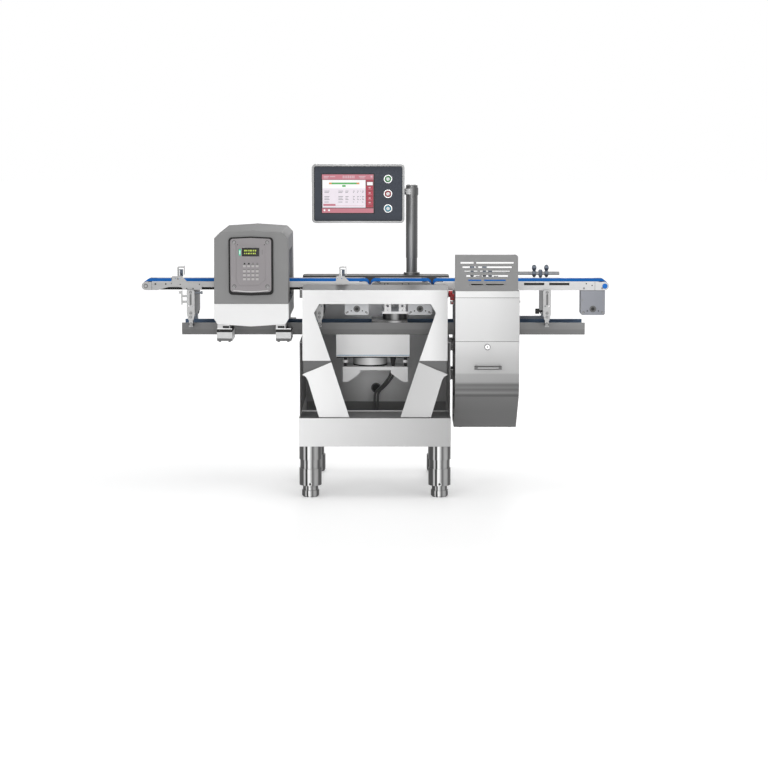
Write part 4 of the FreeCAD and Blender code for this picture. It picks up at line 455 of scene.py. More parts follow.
MATERIALS = {
    "front_panel_steel": front_panel_steel(),
    "deflector_steel": deflector_steel(),
    "tray_steel": tray_steel(),
    "cabinet_steel": cabinet_steel(),
    "door_steel": door_steel(),
    "rear_panel_steel": rear_panel_steel(),
    "rail_paint": rail_paint(),
    "support_steel": support_steel(),
    "bed_rim_and_shade": bed_rim_and_shade(),
    "terminal_finish": terminal_finish(),
    "detector_paint": housing_grey(),
    "plate_steel": plate_steel(),
    "sensor_blue": plastic("sensor_blue", (0.09, 0.115, 0.16), 0.4, 800.0, 0.08, 0.08),
    "leg_steel": painted_reflection_steel("leg_steel", LEG_BANDS, LEG_CENTRE, mirrored=True, rough=0.42,
                        metallic=0.25),
    "pole_steel": painted_reflection_steel("pole_steel", POLE_BANDS, POLE_CENTRE),
    "cell_steel": painted_reflection_steel("cell_steel", CELL_BANDS, CELL_CENTRE, rough=0.42, metallic=0.25,
                         flat_tone=0.4),
    "housing_metal": housing_metal(),
    "mount_steel": mount_steel(),
    "bracket_steel": bracket_steel(),
    "rod_painted_light": rod_painted_light(),
    "frame_steel": steel("frame_steel", 0.26, 0.45, 0.2, "z"),
    "beam_steel": steel("beam_steel", 0.11, 0.55, 0.0, "x", sheen=0.05),
    "box_steel": steel("box_steel", 0.95, 0.45, 0.0, "x", sheen=0.15),
    "load_steel": steel("load_steel", 0.75, 0.4, 0.2, "x"),
    # painted shade: the weigh frame is a darker grey than the other side plates
    "weigh_steel": steel("weigh_steel", 0.2, 0.4, 0.2, "x", sheen=0.1),
    "machined_steel": steel("machined_steel", 0.3, 0.4, 0.3, "x", 0.06),
    "dark_steel": steel("dark_steel", 0.12, 0.42, 0.6, "z"),
    "handle_painted_light": handle_painted_light(),
    "clamp_painted_light": clamp_painted_light(),
    # painted shade: the hood's sloped sheet is a darker grey than the upright steel
    "guard_steel": steel("guard_steel", 0.235, 0.44, 0.3, "x", sheen=0.15),
    "cast_aluminium": plastic("cast_aluminium", 0.34, 0.45, 500.0, 0.1, 0.05, 0.3),
    "roller_aluminium": steel("roller_aluminium", 0.55, 0.3, 0.8, "y"),
    "cover_white": plastic("cover_white", 0.92, 0.45, 700.0, 0.03, 0.03, sheen=0.1),
    "belt_blue": plastic("belt_blue", (0.02, 0.14, 0.47), 0.8, 600.0, 0.15, 0.08, sheen=0.0),
    "black_plastic": plastic("black_plastic", 0.014, 0.45, 700.0, 0.1, 0.15),
    "black_rubber": plastic("black_rubber", 0.012, 0.6, 500.0, 0.15, 0.2),
    "panel_grey": plastic("panel_grey", (0.305, 0.287, 0.295), 0.48, 1200.0, 0.08, 0.04),
    "window_black": plastic("window_black", 0.006, 0.16, 300.0, 0.01, 0.1),
    "key_grey": plastic("key_grey", (0.5, 0.48, 0.48), 0.5, 900.0, 0.08, 0.06),
    "shade_grey": plastic("shade_grey", (0.16, 0.15, 0.155), 0.5, 900.0, 0.08, 0.06),
    "screw_grey": steel("screw_grey", 0.36, 0.4, 0.3, "x"),
    "line_blue": plastic("line_blue", (0.16, 0.33, 0.5), 0.5, 700.0, 0.05, 0.05),
    "light_metal": steel("light_metal", 0.72, 0.3, 0.5, "x"),
    "button_green": plastic("button_green", (0.022, 0.22, 0.05), 0.25, 400.0, 0.02, 0.1),
    "button_red": plastic("button_red", (0.3, 0.013, 0.02), 0.25, 400.0, 0.02, 0.1),
    "button_teal": plastic("button_teal", (0.009, 0.22, 0.3), 0.25, 400.0, 0.02, 0.1),
    "switch_red": plastic("switch_red", (0.52, 0.012, 0.016), 0.35, 500.0, 0.05, 0.08),
    "cap_blue": plastic("cap_blue", (0.0, 0.155, 0.58), 0.35, 500.0, 0.05, 0.08),
    "white_plastic": plastic("white_plastic", 0.8, 0.35, 600.0, 0.04, 0.03),
    "cable_black": plastic("cable_black", 0.15, 0.32, 600.0, 0.1, 0.1, sheen=0.8),
    "lit_white": lit("lit_white", (0.95, 0.94, 0.95), 1.0),
    "lit_pink": lit("lit_pink", (0.66, 0.2, 0.26)),
    "lit_mauve": lit("lit_mauve", (0.82, 0.75, 0.82), 1.0),
    "lit_red": lit("lit_red", (0.5, 0.012, 0.045)),
    "lit_blush": lit("lit_blush", (0.78, 0.5, 0.56)),
    "lit_dark_red": lit("lit_dark_red", (0.22, 0.012, 0.03)),
    "lit_green": lit("lit_green", (0.08, 0.5, 0.1)),
    "lit_orange": lit("lit_orange", (0.85, 0.3, 0.05)),
    "lit_grey": lit("lit_grey", (0.3, 0.3, 0.33)),
    "lit_mint": lit("lit_mint", (0.03, 0.75, 0.4), 1.0),
    "lit_yellow": lit("lit_yellow", (0.6, 0.75, 0.08), 1.0),
}

NODE_MATERIALS = {
    "base_tray": "tray_steel", "legs": "leg_steel", "foot_front_left": "leg_steel",
    "foot_front_right": "leg_steel", "foot_rear_left": "leg_steel", "foot_rear_right": "leg_steel",
    "side_frames": "frame_steel", "front_panel": "front_panel_steel",
    "deflectors": "deflector_steel", "rear_panel": "rear_panel_steel",
    "rear_beam": "beam_steel", "conveyor_rail": "rail_paint", "electronics_box": "box_steel",
    "box_bracket": "bracket_steel", "load_cell": "cell_steel", "load_plate": "load_steel",
    "signal_cables": "cable_black", "infeed_frame": "plate_steel", "weigh_frame": "weigh_steel",
    "outfeed_frame": "plate_steel", "infeed_belt": "belt_blue", "weigh_belt": "belt_blue",
    "outfeed_belt": "belt_blue", "infeed_drive_roller": "roller_aluminium",
    "infeed_tail_roller": "roller_aluminium", "weigh_drive_roller": "roller_aluminium",
    "weigh_tail_roller": "roller_aluminium", "outfeed_drive_roller": "roller_aluminium",
    "outfeed_tail_roller": "roller_aluminium", "slider_beds": "bed_rim_and_shade",
    "drive_housings": "housing_metal", "conveyor_supports": "support_steel",
    "support_knob": "black_plastic", "detector_housing": "detector_paint",
    "detector_cover": "cover_white", "search_coil": "black_plastic",
    "panel_gasket": "black_rubber", "control_panel": "panel_grey",
    "panel_windows": "window_black", "keypad": "key_grey", "detector_mounts": "mount_steel",
    "mount_rubbers": "black_rubber", "barrier_brackets": "plate_steel",
    "barrier_sensors": "sensor_blue", "guide_rod": "rod_painted_light",
    "air_nozzles": "cast_aluminium", "terminal_pole": "pole_steel",
    "terminal_arm": "pole_steel", "terminal_housing": "terminal_finish",
    "terminal_display": "window_black", "start_button": "button_green",
    "stop_button": "button_red", "menu_button": "button_teal", "bin_cabinet": "cabinet_steel",
    "bin_door": "door_steel", "door_lock": "light_metal", "door_handle": "handle_painted_light",
    "hood": "guard_steel", "main_switch": "switch_red", "fasteners": "machined_steel",
}

SMOOTH_ANGLE = math.radians(30)
PLANAR_ANGLE = math.radians(0.6)
EDGE_WIDTH = {"detector_housing": 2.5, "detector_cover": 2.0, "control_panel": 1.5,
              "terminal_housing": 1.2, "drive_housings": 1.5, "rear_beam": 2.0,
              "guide_rod": 4.0, "door_handle": 2.0}
DEFAULT_EDGE = 0.5


def smoothing_tree():
    """Smooth faces, with the edges over the angle kept sharp."""
    tree = bpy.data.node_groups.new("smooth_by_angle", "GeometryNodeTree")
    tree.interface.new_socket("Geometry", in_out="INPUT", socket_type="NodeSocketGeometry")
    tree.interface.new_socket("Geometry", in_out="OUTPUT", socket_type="NodeSocketGeometry")
    source = tree.nodes.new("NodeGroupInput")
    sink = tree.nodes.new("NodeGroupOutput")
    faces = tree.nodes.new("GeometryNodeSetShadeSmooth")
    faces.domain = "FACE"
    edges = tree.nodes.new("GeometryNodeSetShadeSmooth")
    edges.domain = "EDGE"
    edges.inputs["Shade Smooth"].default_value = False
    angle = tree.nodes.new("GeometryNodeInputMeshEdgeAngle")
    sharp = tree.nodes.new("FunctionNodeCompare")
    sharp.operation = "GREATER_THAN"
    sharp.inputs["B"].default_value = SMOOTH_ANGLE
    tree.links.new(source.outputs[0], faces.inputs["Geometry"])
    tree.links.new(faces.outputs[0], edges.inputs["Geometry"])
    tree.links.new(angle.outputs["Unsigned Angle"], sharp.inputs["A"])
    tree.links.new(sharp.outputs[0], edges.inputs["Selection"])
    tree.links.new(edges.outputs[0], sink.inputs[0])
    return tree


SMOOTHING = smoothing_tree()


def soften(item, edge):
    """Small rounded edges, and smooth shading over the curved faces."""
    if edge > 0:
        bevel = item.modifiers.new("edges", "BEVEL")
        bevel.width = edge * MM
        bevel.segments = 2 if edge < 3 else 4
        bevel.limit_method = "ANGLE"
        bevel.angle_limit = math.radians(35)
        bevel.use_clamp_overlap = True
    smooth = item.modifiers.new("smooth", "NODES")
    smooth.node_group = SMOOTHING
    normals = item.modifiers.new("normals", "WEIGHTED_NORMAL")
    normals.keep_sharp = True
    normals.weight = 80


for name, node in nodes.items():
    node.data.materials.clear()
    node.data.materials.append(MATERIALS[NODE_MATERIALS[name]])
    weld = node.modifiers.new("weld", "WELD")
    weld.merge_threshold = 0.00001
    planar = node.modifiers.new("planar", "DECIMATE")
    planar.decimate_type = "DISSOLVE"
    planar.angle_limit = PLANAR_ANGLE
    soften(node, EDGE_WIDTH.get(name, DEFAULT_EDGE))


# pieces made here

TURNS = {"x": Matrix.Rotation(math.pi / 2, 4, "Y"), "y": Matrix.Rotation(-math.pi / 2, 4, "X"),
         "z": Matrix.Identity(4)}


class Shape:
    """One piece, built from blocks, discs, rings and outlines in millimetres."""

    def __init__(self, name):
        self.name = name
        self.mesh = bmesh.new()

    def block(self, x, y, z):
        """x, y and z are each (low, high)."""
        place = Matrix.Translation([middle(pair) for pair in (x, y, z)])
        size = Matrix.Diagonal([pair[1] - pair[0] for pair in (x, y, z)] + [1])
        bmesh.ops.create_cube(self.mesh, size=1, matrix=place @ size)
        return self

    def disc(self, axis, centre, radius, thick, sides=40, top=None):
        """A disc, or a cone where top differs, that starts at centre and runs along the axis."""
        place = Matrix.Translation(centre) @ TURNS[axis] @ Matrix.Translation((0, 0, thick / 2))
        bmesh.ops.create_cone(self.mesh, cap_ends=True, segments=sides, radius1=radius,
                              radius2=radius if top is None else top, depth=thick, matrix=place)
        return self

    def ball(self, centre, radii):
        place = Matrix.Translation(centre) @ Matrix.Diagonal([*radii, 1])
        bmesh.ops.create_uvsphere(self.mesh, u_segments=32, v_segments=20, radius=1, matrix=place)
        return self

    def ring(self, axis, centre, outer, inner, thick, sides=48):
        place = Matrix.Translation(centre) @ TURNS[axis]
        rims = []
        for i in range(sides):
            turn = 2 * math.pi * i / sides
            way = Vector((math.cos(turn), math.sin(turn), 0))
            rims.append([self.mesh.verts.new(place @ (way * radius + Vector((0, 0, up))))
                         for radius, up in ((inner, 0), (outer, 0), (outer, thick), (inner, thick))])
        for i in range(sides):
            here, there = rims[i], rims[(i + 1) % sides]
            for k in range(4):
                self.mesh.faces.new((here[k], there[k], there[(k + 1) % 4], here[(k + 1) % 4]))
        return self

    def prism(self, outline, y):
        """An outline of (x, z) corners between two depths."""
        near = [self.mesh.verts.new((u, y[0], v)) for u, v in outline]
        far = [self.mesh.verts.new((u, y[1], v)) for u, v in outline]
        self.mesh.faces.new(near)
        self.mesh.faces.new(list(reversed(far)))
        count = len(outline)
        for i in range(count):
            j = (i + 1) % count
            self.mesh.faces.new((near[j], near[i], far[i], far[j]))
        return self

    def frame(self, x, y, z, wide):
        """Four bars round a rectangle."""
        self.block(x, y, (z[0], z[0] + wide)).block(x, y, (z[1] - wide, z[1]))
        self.block((x[0], x[0] + wide), y, (z[0] + wide, z[1] - wide))
        return self.block((x[1] - wide, x[1]), y, (z[0] + wide, z[1] - wide))

    def add(self, material, slot, body="machine", edge=0.0):
        bmesh.ops.recalc_face_normals(self.mesh, faces=self.mesh.faces)
        bmesh.ops.scale(self.mesh, vec=(MM, MM, MM), verts=self.mesh.verts)
        data = bpy.data.meshes.new(self.name)
        self.mesh.to_mesh(data)
        self.mesh.free()
        item = bpy.data.objects.new(self.name, data)
        scene.collection.objects.link(item)
        data.materials.append(MATERIALS[material])
        soften(item, edge)
        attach(item, body)
        return item


def screws(name, spots, radius=5.5, proud=1.6, body="machine", head="light_metal"):
    """Hexagon socket screws that face the front: seat, head and socket."""
    seats, heads, sockets = Shape(f"{name}_seats"), Shape(f"{name}_heads"), Shape(f"{name}_sockets")
    for x, y, z in spots:
        seats.disc("y", (x, y - 0.3, z), radius * 1.45, 0.5)
        heads.ring("y", (x, y - proud, z), radius, radius * 0.45, proud)
        sockets.disc("y", (x, y - proud * 0.5, z), radius * 0.5, proud * 0.5, 6)
    seats.add("dark_steel", "dark_steel", body)
    heads.add(head, "bright_steel", body, 0.3)
    sockets.add("black_plastic", "black_rubber", body)


# operator terminal

def terminal_screen():
    """Lit fields of the display, laid out from the upper left corner of the glass."""
    x, y, z = span("terminal_display")
    glass = y[0]

    def fields(name, material, boxes, proud=0.25):
        shape = Shape(name)
        for left, right, top, low in boxes:
            shape.block((x[0] + left, x[0] + right), (glass - proud, glass), (z[1] - low, z[1] - top))
        shape.add(material, "display_red", "terminal")

    fields("screen_header", "lit_pink", [(1, 215, 1, 22.5)])
    fields("screen_footer", "lit_pink", [(1, 215, 142, 161)])
    digits = [(87 + i * 7.4, 92 + i * 7.4, 6, 17) for i in range(7)]
    words = [(8, 30, 8, 12), (34, 56, 8, 12), (8, 26, 14, 17), (154, 182, 8, 12), (158, 178, 14, 17)]
    fields("screen_readout", "lit_blush", digits + [(203, 211, 6, 14)], 0.4)
    fields("screen_words", "lit_blush", words, 0.4)
    fields("screen_page", "lit_white", [(3, 182, 24, 139)])
    fields("screen_page_low", "lit_mauve", [(3, 182, 59, 139)], 0.3)
    fields("screen_column", "lit_dark_red", [(183, 215, 24, 139)])
    fields("screen_column_top", "lit_red", [(183, 215, 24, 30)], 0.4)
    segments = [(48.6, 68.2), (70.4, 90), (92.4, 111.3), (113.6, 127), (129, 138)]
    fields("screen_keys", "lit_red", [(184.5, 213.5, top, low) for top, low in segments], 0.4)
    fields("screen_tab", "lit_white", [(188.5, 212, 32.7, 46)], 0.4)
    icons = [(195, 203, middle(pair) - 5, middle(pair)) for pair in segments[:4]]
    labels = [(192, 207, middle(pair) + 3, middle(pair) + 5) for pair in segments[:4]]
    fields("screen_icons", "lit_blush", icons, 0.55)
    fields("screen_labels", "lit_pink", labels, 0.55)
    fields("screen_bar", "lit_green", [(41, 145, 34.7, 41.9), (85, 99.5, 45, 52.7)], 0.4)
    fields("screen_bar_ends", "lit_orange", [(30, 41, 34.7, 41.9), (145, 156.5, 34.7, 41.9)], 0.4)
    columns = [(10.8, 32), (69, 89), (98, 111.5), (130, 137), (147, 154), (159, 162), (167, 176)]
    lines = [69, 75, 91.5, 98, 104.5, 114.5]
    marks = [(left, right - 3 * (row % 2), up, up + 2.6)
             for row, up in enumerate(lines) for left, right in columns]
    fields("screen_table", "lit_grey", marks, 0.4)
    fields("screen_progress", "lit_pink", [(6.2, 57, 123.5, 132), (57, 174, 131, 132)], 0.4)
    dots = Shape("screen_dots")
    for across in (11, 30):
        dots.disc("y", (x[0] + across, glass - 0.5, z[1] - 150), 4, 0.4, 24)
    dots.add("lit_white", "display_red", "terminal")
    Shape("screen_rim").frame((x[0] - 2.5, x[1] + 2.5), (y[1] - 0.6, y[1] + 0.1),
                              (z[0] - 2.5, z[1] + 2.5), 2.4).add("black_plastic", "window_black",
                                                                "terminal")


def terminal_details():
    x, y, z = span("terminal_housing")
    face = y[0] + 3
    Shape("terminal_groove").frame((x[0] + 9, x[1] - 9), (face - 0.5, face + 0.1),
                                   (z[0] + 9, z[1] - 9), 2.2).add("black_plastic", "black_rubber",
                                                                 "terminal")
    for button, body in (("start_button", "start"), ("stop_button", "stop"),
                         ("menu_button", "menu")):
        across, along, up = span(button)
        spot = (middle(across), along[0] - 0.6, middle(up))
        Shape(f"{button}_cap").disc("y", spot, 7.3, 0.9, 32, 7.3).add("white_plastic",
                                                                     "detector_white", body, 0.3)
        Shape(f"{button}_collar").ring("y", (spot[0], face - 3.4, spot[2]), 17.2, 14.2, 0.6).add(
            "light_metal", "bright_steel", "terminal", 0.2)


# control panel on the detector

KEY_COLUMNS = 4
KEY_PITCH = 17
KEY_WIDE = 11
KEY_DROPS = (0, 20, 36, 52)


def control_details():
    x, y, z = span("control_panel")
    front = y[0]
    centre = middle(x)
    gap = 15.5
    screws("panel_screw", [(centre + side * (81.5 - gap), front, up)
                           for side in (-1, 1) for up in (z[0] + 26, z[1] - 17)], 5.5, 2.0,
           head="panel_grey")
    lip = [(-74, 5.5), (0, 0), (74, 5.5), (74, -4.5), (0, -10), (-74, -4.5)]
    Shape("gasket_lip").prism([(centre + across, z[0] + up) for across, up in lip],
                              (front + 3, front + 9)).add("black_rubber", "black_rubber")
    ridge = [(-58, 191), (58, 191), (58, 54), (31, 30), (-45, 30), (-58, 52)]
    curve = bpy.data.curves.new("panel_ridge", "CURVE")
    curve.dimensions = "3D"
    curve.bevel_depth = 0.9 * MM
    line = curve.splines.new("POLY")
    line.points.add(len(ridge) - 1)
    for point, (across, up) in zip(line.points, ridge):
        point.co = ((centre + across) * MM, (front - 0.1) * MM, (z[0] + up) * MM, 1)
    line.use_cyclic_u = True
    item = bpy.data.objects.new("panel_ridge", curve)
    scene.collection.objects.link(item)
    curve.materials.append(MATERIALS["panel_grey"])
    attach(item, "machine")
    marks = Shape("panel_marks")
    for across in (-52, 55):
        marks.disc("y", (centre + across, front - 0.4, z[1] - 27), 2.4, 0.6, 20)
    for across in (-24.5, -7.5):
        marks.disc("y", (centre + across, front - 0.5, z[0] + 117), 3.4, 0.7, 24)
    marks.add("black_plastic", "window_black")
    icons = Shape("panel_icons_and_key_shadows")
    for across in (9.5, 26.5):
        icons.ring("y", (centre + across, front - 0.5, z[0] + 117), 3.4, 1.8, 0.6, 24)
    icons.block((centre + 45, centre + 46.5), (front - 0.5, front), (z[0] + 153, z[0] + 172))
    keys = span("keypad")
    # painted shadow: a dark strip above each key
    for column in range(KEY_COLUMNS):
        left = keys[0][0] + column * KEY_PITCH
        for drop in KEY_DROPS:
            top = keys[2][1] - drop
            icons.block((left, left + KEY_WIDE), (front - 0.3, front + 0.1), (top + 0.2, top + 2.2))
    icons.add("shade_grey", "panel_grey")
    # painted highlight: a light line along the bottom edge of the panel
    light = bpy.data.curves.new("panel_edge_highlight", "CURVE")
    light.dimensions = "3D"
    light.bevel_depth = 1.2 * MM
    line = light.splines.new("POLY")
    steps = 8
    line.points.add(steps)
    for step, point in enumerate(line.points):
        share = 2 * step / steps - 1
        point.co = ((centre + share * 70) * MM, (front - 0.2) * MM,
                    (z[0] + 4.5 + 5.5 * share * share) * MM, 1)
    item = bpy.data.objects.new("panel_edge_highlight", light)
    scene.collection.objects.link(item)
    light.materials.append(MATERIALS["light_metal"])
    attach(item, "machine")


def panel_lamps():
    """Lit marks on the small window and the status lamp beside it."""
    x, y, z = span("panel_windows")
    front = y[0]
    lamp = (x[0] + 0.6, x[0] + 8.4)
    Shape("status_lamp").block(lamp, (front - 0.4, front + 0.6),
                               (z[1] - 30, z[1] - 6)).add("lit_mint", "button_green", edge=0.3)
    Shape("status_lamp_core").block((lamp[0] + 2.2, lamp[1] - 2.2), (front - 0.6, front),
                                    (z[1] - 25, z[1] - 11)).add("lit_white", "button_green")
    marks = Shape("window_marks")
    left = x[0] + 22
    for row, (up, high) in enumerate(((z[1] - 14, 6), (z[1] - 25, 5))):
        for i in range(7):
            wide = 3.4 if (i + row) % 3 else 5.2
            marks.block((left + i * 7, left + i * 7 + wide), (front - 0.3, front), (up, up + high))
    marks.add("lit_yellow", "button_green")


# conveyors

# slots of the outfeed plates: the first from the tail axle, then one every pitch
SLOT_FIRST = 350
SLOT_PITCH = 102
SLOT_LONG = 82


def plate_details():
    """End caps, seams, small holes and screws on the front side plates."""
    front = span("infeed_frame")[1][0]
    up = middle(span("infeed_tail_roller")[2])
    tail = middle(span("infeed_tail_roller")[0])
    drive = middle(span("outfeed_drive_roller")[0])
    top = span("infeed_frame")[2][1]
    low = up - 17
    Shape("tail_axle_ring").ring("y", (tail, front - 1.2, up), 8.8, 5.2, 1.3).add(
        "dark_steel", "dark_steel", edge=0.2)
    Shape("tail_axle_end").block((tail - 3.4, tail + 3.4), (front - 1.6, front),
                                 (up - 3.4, up + 3.4)).add("screw_grey", "bright_steel", edge=0.3)
    Shape("drive_axle_cap").disc("y", (drive, front - 2.6, up), 10.2, 2.8, 40, 11).add(
        "cap_blue", "belt_blue", edge=0.4)
    seams = Shape("nose_seams")
    for x in (tail + 24, drive - 40.5):
        seams.block((x - 0.5, x + 0.5), (front - 0.25, front + 0.1), (low, top - 0.4))
    seams.add("black_plastic", "black_rubber")
    dots = Shape("plate_dots")
    spots = [(tail + 104.5, up + 10.5), (drive - 75.5, up + 10), (drive - 52, up + 2.5)]
    spots += [(x, up + 9) for x in (38, 51, 110, 136)]
    for x, z in spots:
        dots.disc("y", (x, front - 0.3, z), 2.7, 0.5, 20)
    bracket = span("barrier_brackets")[1][0]
    for out, rise in ((105, 29), (131, 29), (140, 7), (166, -10), (192, -10), (218, 7)):
        dots.disc("y", (tail + out, bracket - 0.3, up + rise), 2.5, 0.5, 20)
    dots.add("black_plastic", "black_rubber")
    # painted shade: black sheets behind the slots of the outfeed plates, and a black strip on the
    # plate behind the guard's lowest slots
    slots = Shape("painted_slot_shade")
    start = middle(span("outfeed_tail_roller")[0]) + SLOT_FIRST
    for i in range(2):
        left = start + i * SLOT_PITCH
        slots.block((left, left + SLOT_LONG), (front + 0.8, front + 1.8), (top - 14, top - 1))
    slots.block((388, 527), (front - 0.3, front + 0.2), (top - 13, top - 3))
    slots.add("black_plastic", "black_rubber")
    Shape("transfer_plate").prism([(5, 851 - 4), (21, 838), (24, 838), (9, 851 - 4)],
                                  (front - 1.5, front + 0.2)).add("black_plastic", "black_rubber")


def housing_details():
    """Ring, bolts and screws on the front of each drive housing."""
    x, y, z = span("drive_housings")
    front = y[0]
    wide = 98
    hole = z[0] + 25
    rings, sleeves = Shape("housing_rings"), Shape("housing_sleeves")
    bolts, corners = Shape("housing_bolts"), []
    for left in (-124, 132.5, 834):
        centre = left + wide / 2
        rings.ring("y", (centre, front - 0.8, hole), 13.6, 11, 1.0)
        sleeves.ring("y", (centre, front + 0.4, hole), 11, 7, 3)
        bolts.disc("y", (centre, front + 1.5, hole), 7.1, 1.5, 32)
        for side in (-1, 1):
            bolts.disc("y", (centre + side * 22.5, front - 0.5, hole - 8), 2.6, 0.7, 20)
            corners += [(centre + side * (wide / 2 - 12), front, up)
                        for up in (z[0] + 12, z[1] - 12)]
    rings.add("dark_steel", "dark_steel", edge=0.2)
    sleeves.add("dark_steel", "bright_steel", edge=0.3)
    bolts.add("black_plastic", "black_rubber")
    screws("housing_screw", corners, 2.8, 1.0, head="screw_grey")


SUPPORT_MIDDLES = (-748, -226, 696)


def support_details():
    """Dark sheets of painted shade behind the slots, and washers and foot bolts of the uprights."""
    front = span("conveyor_supports")[1][0]
    rail_top = span("conveyor_rail")[2][1]
    slot = (span("infeed_frame")[2][0] - 62, span("infeed_frame")[2][0] - 12)
    backs, washers, heads = Shape("slot_shade_sheets"), Shape("upright_washers"), Shape("upright_bolts")
    for x in SUPPORT_MIDDLES:
        backs.block((x - 7, x + 7), (front + 5.4, front + 6.4), slot)
        for up in (rail_top + 28, rail_top + 44, slot[1] + 5):
            washers.ring("y", (x, front - 0.4, up), 5.6, 4, 0.6, 32)
            heads.disc("y", (x, front - 0.8, up), 3.8, 1.0, 24)
        washers.ring("y", (x, front + 4.2, rail_top - 3), 8, 5.8, 0.8, 32)
        heads.disc("y", (x, front + 3, rail_top - 3), 5.6, 2.0, 24)
    backs.add("guard_steel", "dark_steel")
    washers.add("dark_steel", "dark_steel", edge=0.1)
    heads.add("screw_grey", "bright_steel", edge=0.4)


MOUNT_WIDE = 61


def mount_details():
    """Black bands, notches, light edges and feet of the detector's front mounts."""
    x, y, z = span("mount_rubbers")
    front = span("detector_mounts")[1][0]
    foot = span("detector_mounts")[2][0]
    bands, edges, feet = Shape("mount_bands"), Shape("mount_edges"), Shape("mount_feet")
    for left, notch in ((x[0], (24, 49)), (x[1] - MOUNT_WIDE, (8, 35))):
        wide = (left, left + MOUNT_WIDE)
        bands.block(wide, (front - 0.4, front + 3), (z[0] - 0.5, z[1] + 0.5))
        bands.block((left + notch[0], left + notch[1]), (front - 0.4, front + 3),
                    (z[1] + 5, z[1] + 14))
        edges.block(wide, (front - 0.5, front + 3), (z[1] + 0.6, z[1] + 3.4))
        for out in (10, MOUNT_WIDE - 12):
            feet.disc("z", (left + out, front + 20, foot - 4), 5, 4.5, 24)
    bands.add("black_rubber", "black_rubber")
    edges.add("light_metal", "bright_steel")
    feet.add("dark_steel", "dark_steel", edge=0.5)


def box_details():
    """Line along the lower edge of the electronics box, and a black strip of painted shade under it.
    """
    x, y, z = span("electronics_box")
    Shape("box_line").block((x[0] + 1, x[1] - 1), (y[0] - 0.3, y[0] + 0.2),
                            (z[0] + 4.5, z[0] + 7)).add("line_blue", "sensor_blue")
    Shape("box_gap_shade").block((x[0] + 2, x[1] - 2), (y[0] + 0.5, y[0] + 5),
                            (z[0] - 5, z[0])).add("black_rubber", "black_rubber")


# frame, cabinet and small parts

def frame_details():
    legs = span("legs")
    front = legs[1][0]
    half = legs[0][1]
    radius = 44.5
    sleeves, holes = Shape("leg_hole_rims"), Shape("leg_holes")
    for side in (-1, 1):
        x = side * (half - radius)
        sleeves.ring("y", (x, front - 0.15, 56), 7, 4.6, 1.2, 32)
        holes.disc("y", (x, front - 0.1, 56), 4.7, 1.2, 24)
    sleeves.add("light_metal", "bright_steel")
    holes.add("black_plastic", "black_rubber")
    latch = span("front_panel")
    Shape("latch_cover").block((-301, -289.6), (latch[1][0] + 5.6, latch[1][0] + 46.4),
                               (793.6, 826.4)).add("dark_steel", "dark_steel", edge=1.0)
    Shape("gland_nut").disc("y", (0, 283, 357), 16, 6, 40).add(
        "black_plastic", "black_rubber", edge=1.0)
    Shape("gland_ring").ring("y", (0, 284, 357), 21, 15.5, 5).add(
        "dark_steel", "dark_steel", edge=0.8)
    x, y, z = span("main_switch")
    centre = middle(y)
    side = span("side_frames")[0][1]
    Shape("switch_body").block((side, 319), (centre - 14, centre + 14),
                               (z[0] - 12, z[0] + 13)).add("switch_red", "switch_red", edge=1)
    Shape("switch_foot").block((side, 317), (centre - 12, centre + 12),
                               (z[0] - 29, z[0] - 17)).add("white_plastic", "detector_white", edge=1)
    Shape("switch_mark").block((306, 315), (centre - 12.5, centre),
                               (z[0] - 26, z[0] - 20)).add("switch_red", "switch_red", edge=0.4)


def cabinet_details():
    x, y, z = span("door_handle")
    ends = Shape("handle_ends")
    for across in (x[0] + 6.5, x[1] - 6.5):
        ends.disc("y", (across, y[0] - 0.4, middle(z)), 6.2, 2, 24)
    ends.add("dark_steel", "dark_steel", "door", 0.3)
    x, y, z = span("door_lock")
    centre = (447, y[0], 604)
    Shape("lock_ring").ring("y", (centre[0], y[0] - 0.8, centre[2]), 12.2, 9.6, 1.4).add(
        "dark_steel", "dark_steel", "lock", 0.3)
    Shape("keyhole").block((446, 448), (y[0] - 0.3, y[0] + 0.2), (600, 608)).add(
        "black_plastic", "black_rubber", "lock")
    x, y, z = span("bin_cabinet")
    door_top = span("bin_door")[2][1]
    seams = Shape("cabinet_seams")
    for up in (door_top + 0.2, 799.3):
        seams.block((x[0] + 0.5, x[1] - 0.5), (y[0] - 0.2, y[0] + 1), (up, up + 1.3))
    seams.add("black_plastic", "dark_steel")


# places of the clamps and of the posts, from the left end of the guide rod
CLAMPS_OUT = (71, 122, 329, 380)
POSTS_OUT = (146, 355)


def rod_details():
    """Guide rod with oval grips and knuckles, on its two posts."""
    y, z = ROD_AXIS
    box = span("guide_rod")
    left, right = box[0]
    bar = Shape("guide_bar").disc("x", (left, y, z), 7, right - left).add(
        "rod_painted_light", "bright_steel", edge=1.0)
    grips, heads, stems = Shape("clamp_grips"), Shape("post_heads"), Shape("post_stems")
    for out in CLAMPS_OUT:
        grips.ball((left + out, y, z + 22.5), (10, 11, 13.4))
        grips.ball((left + out, y, z - 2), (9.5, 14, 15.5))
        grips.disc("z", (left + out, y, z + 6), 6.5, 14, 24)
    for out in POSTS_OUT:
        across = left + out
        heads.block((across - 8, across + 8), (y - 9, y + 9), (z - 16, z + 16))
        stems.block((across - 5, across + 5), (y - 4, y + 8), (box[2][0], z - 15))
    grips = grips.add("clamp_painted_light", "sensor_blue")
    heads = heads.add("clamp_painted_light", "sensor_blue", edge=5.0)
    stems = stems.add("dark_steel", "dark_steel", edge=1.0)
    for piece in (bar, grips, heads, stems):
        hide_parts("guide_rod")


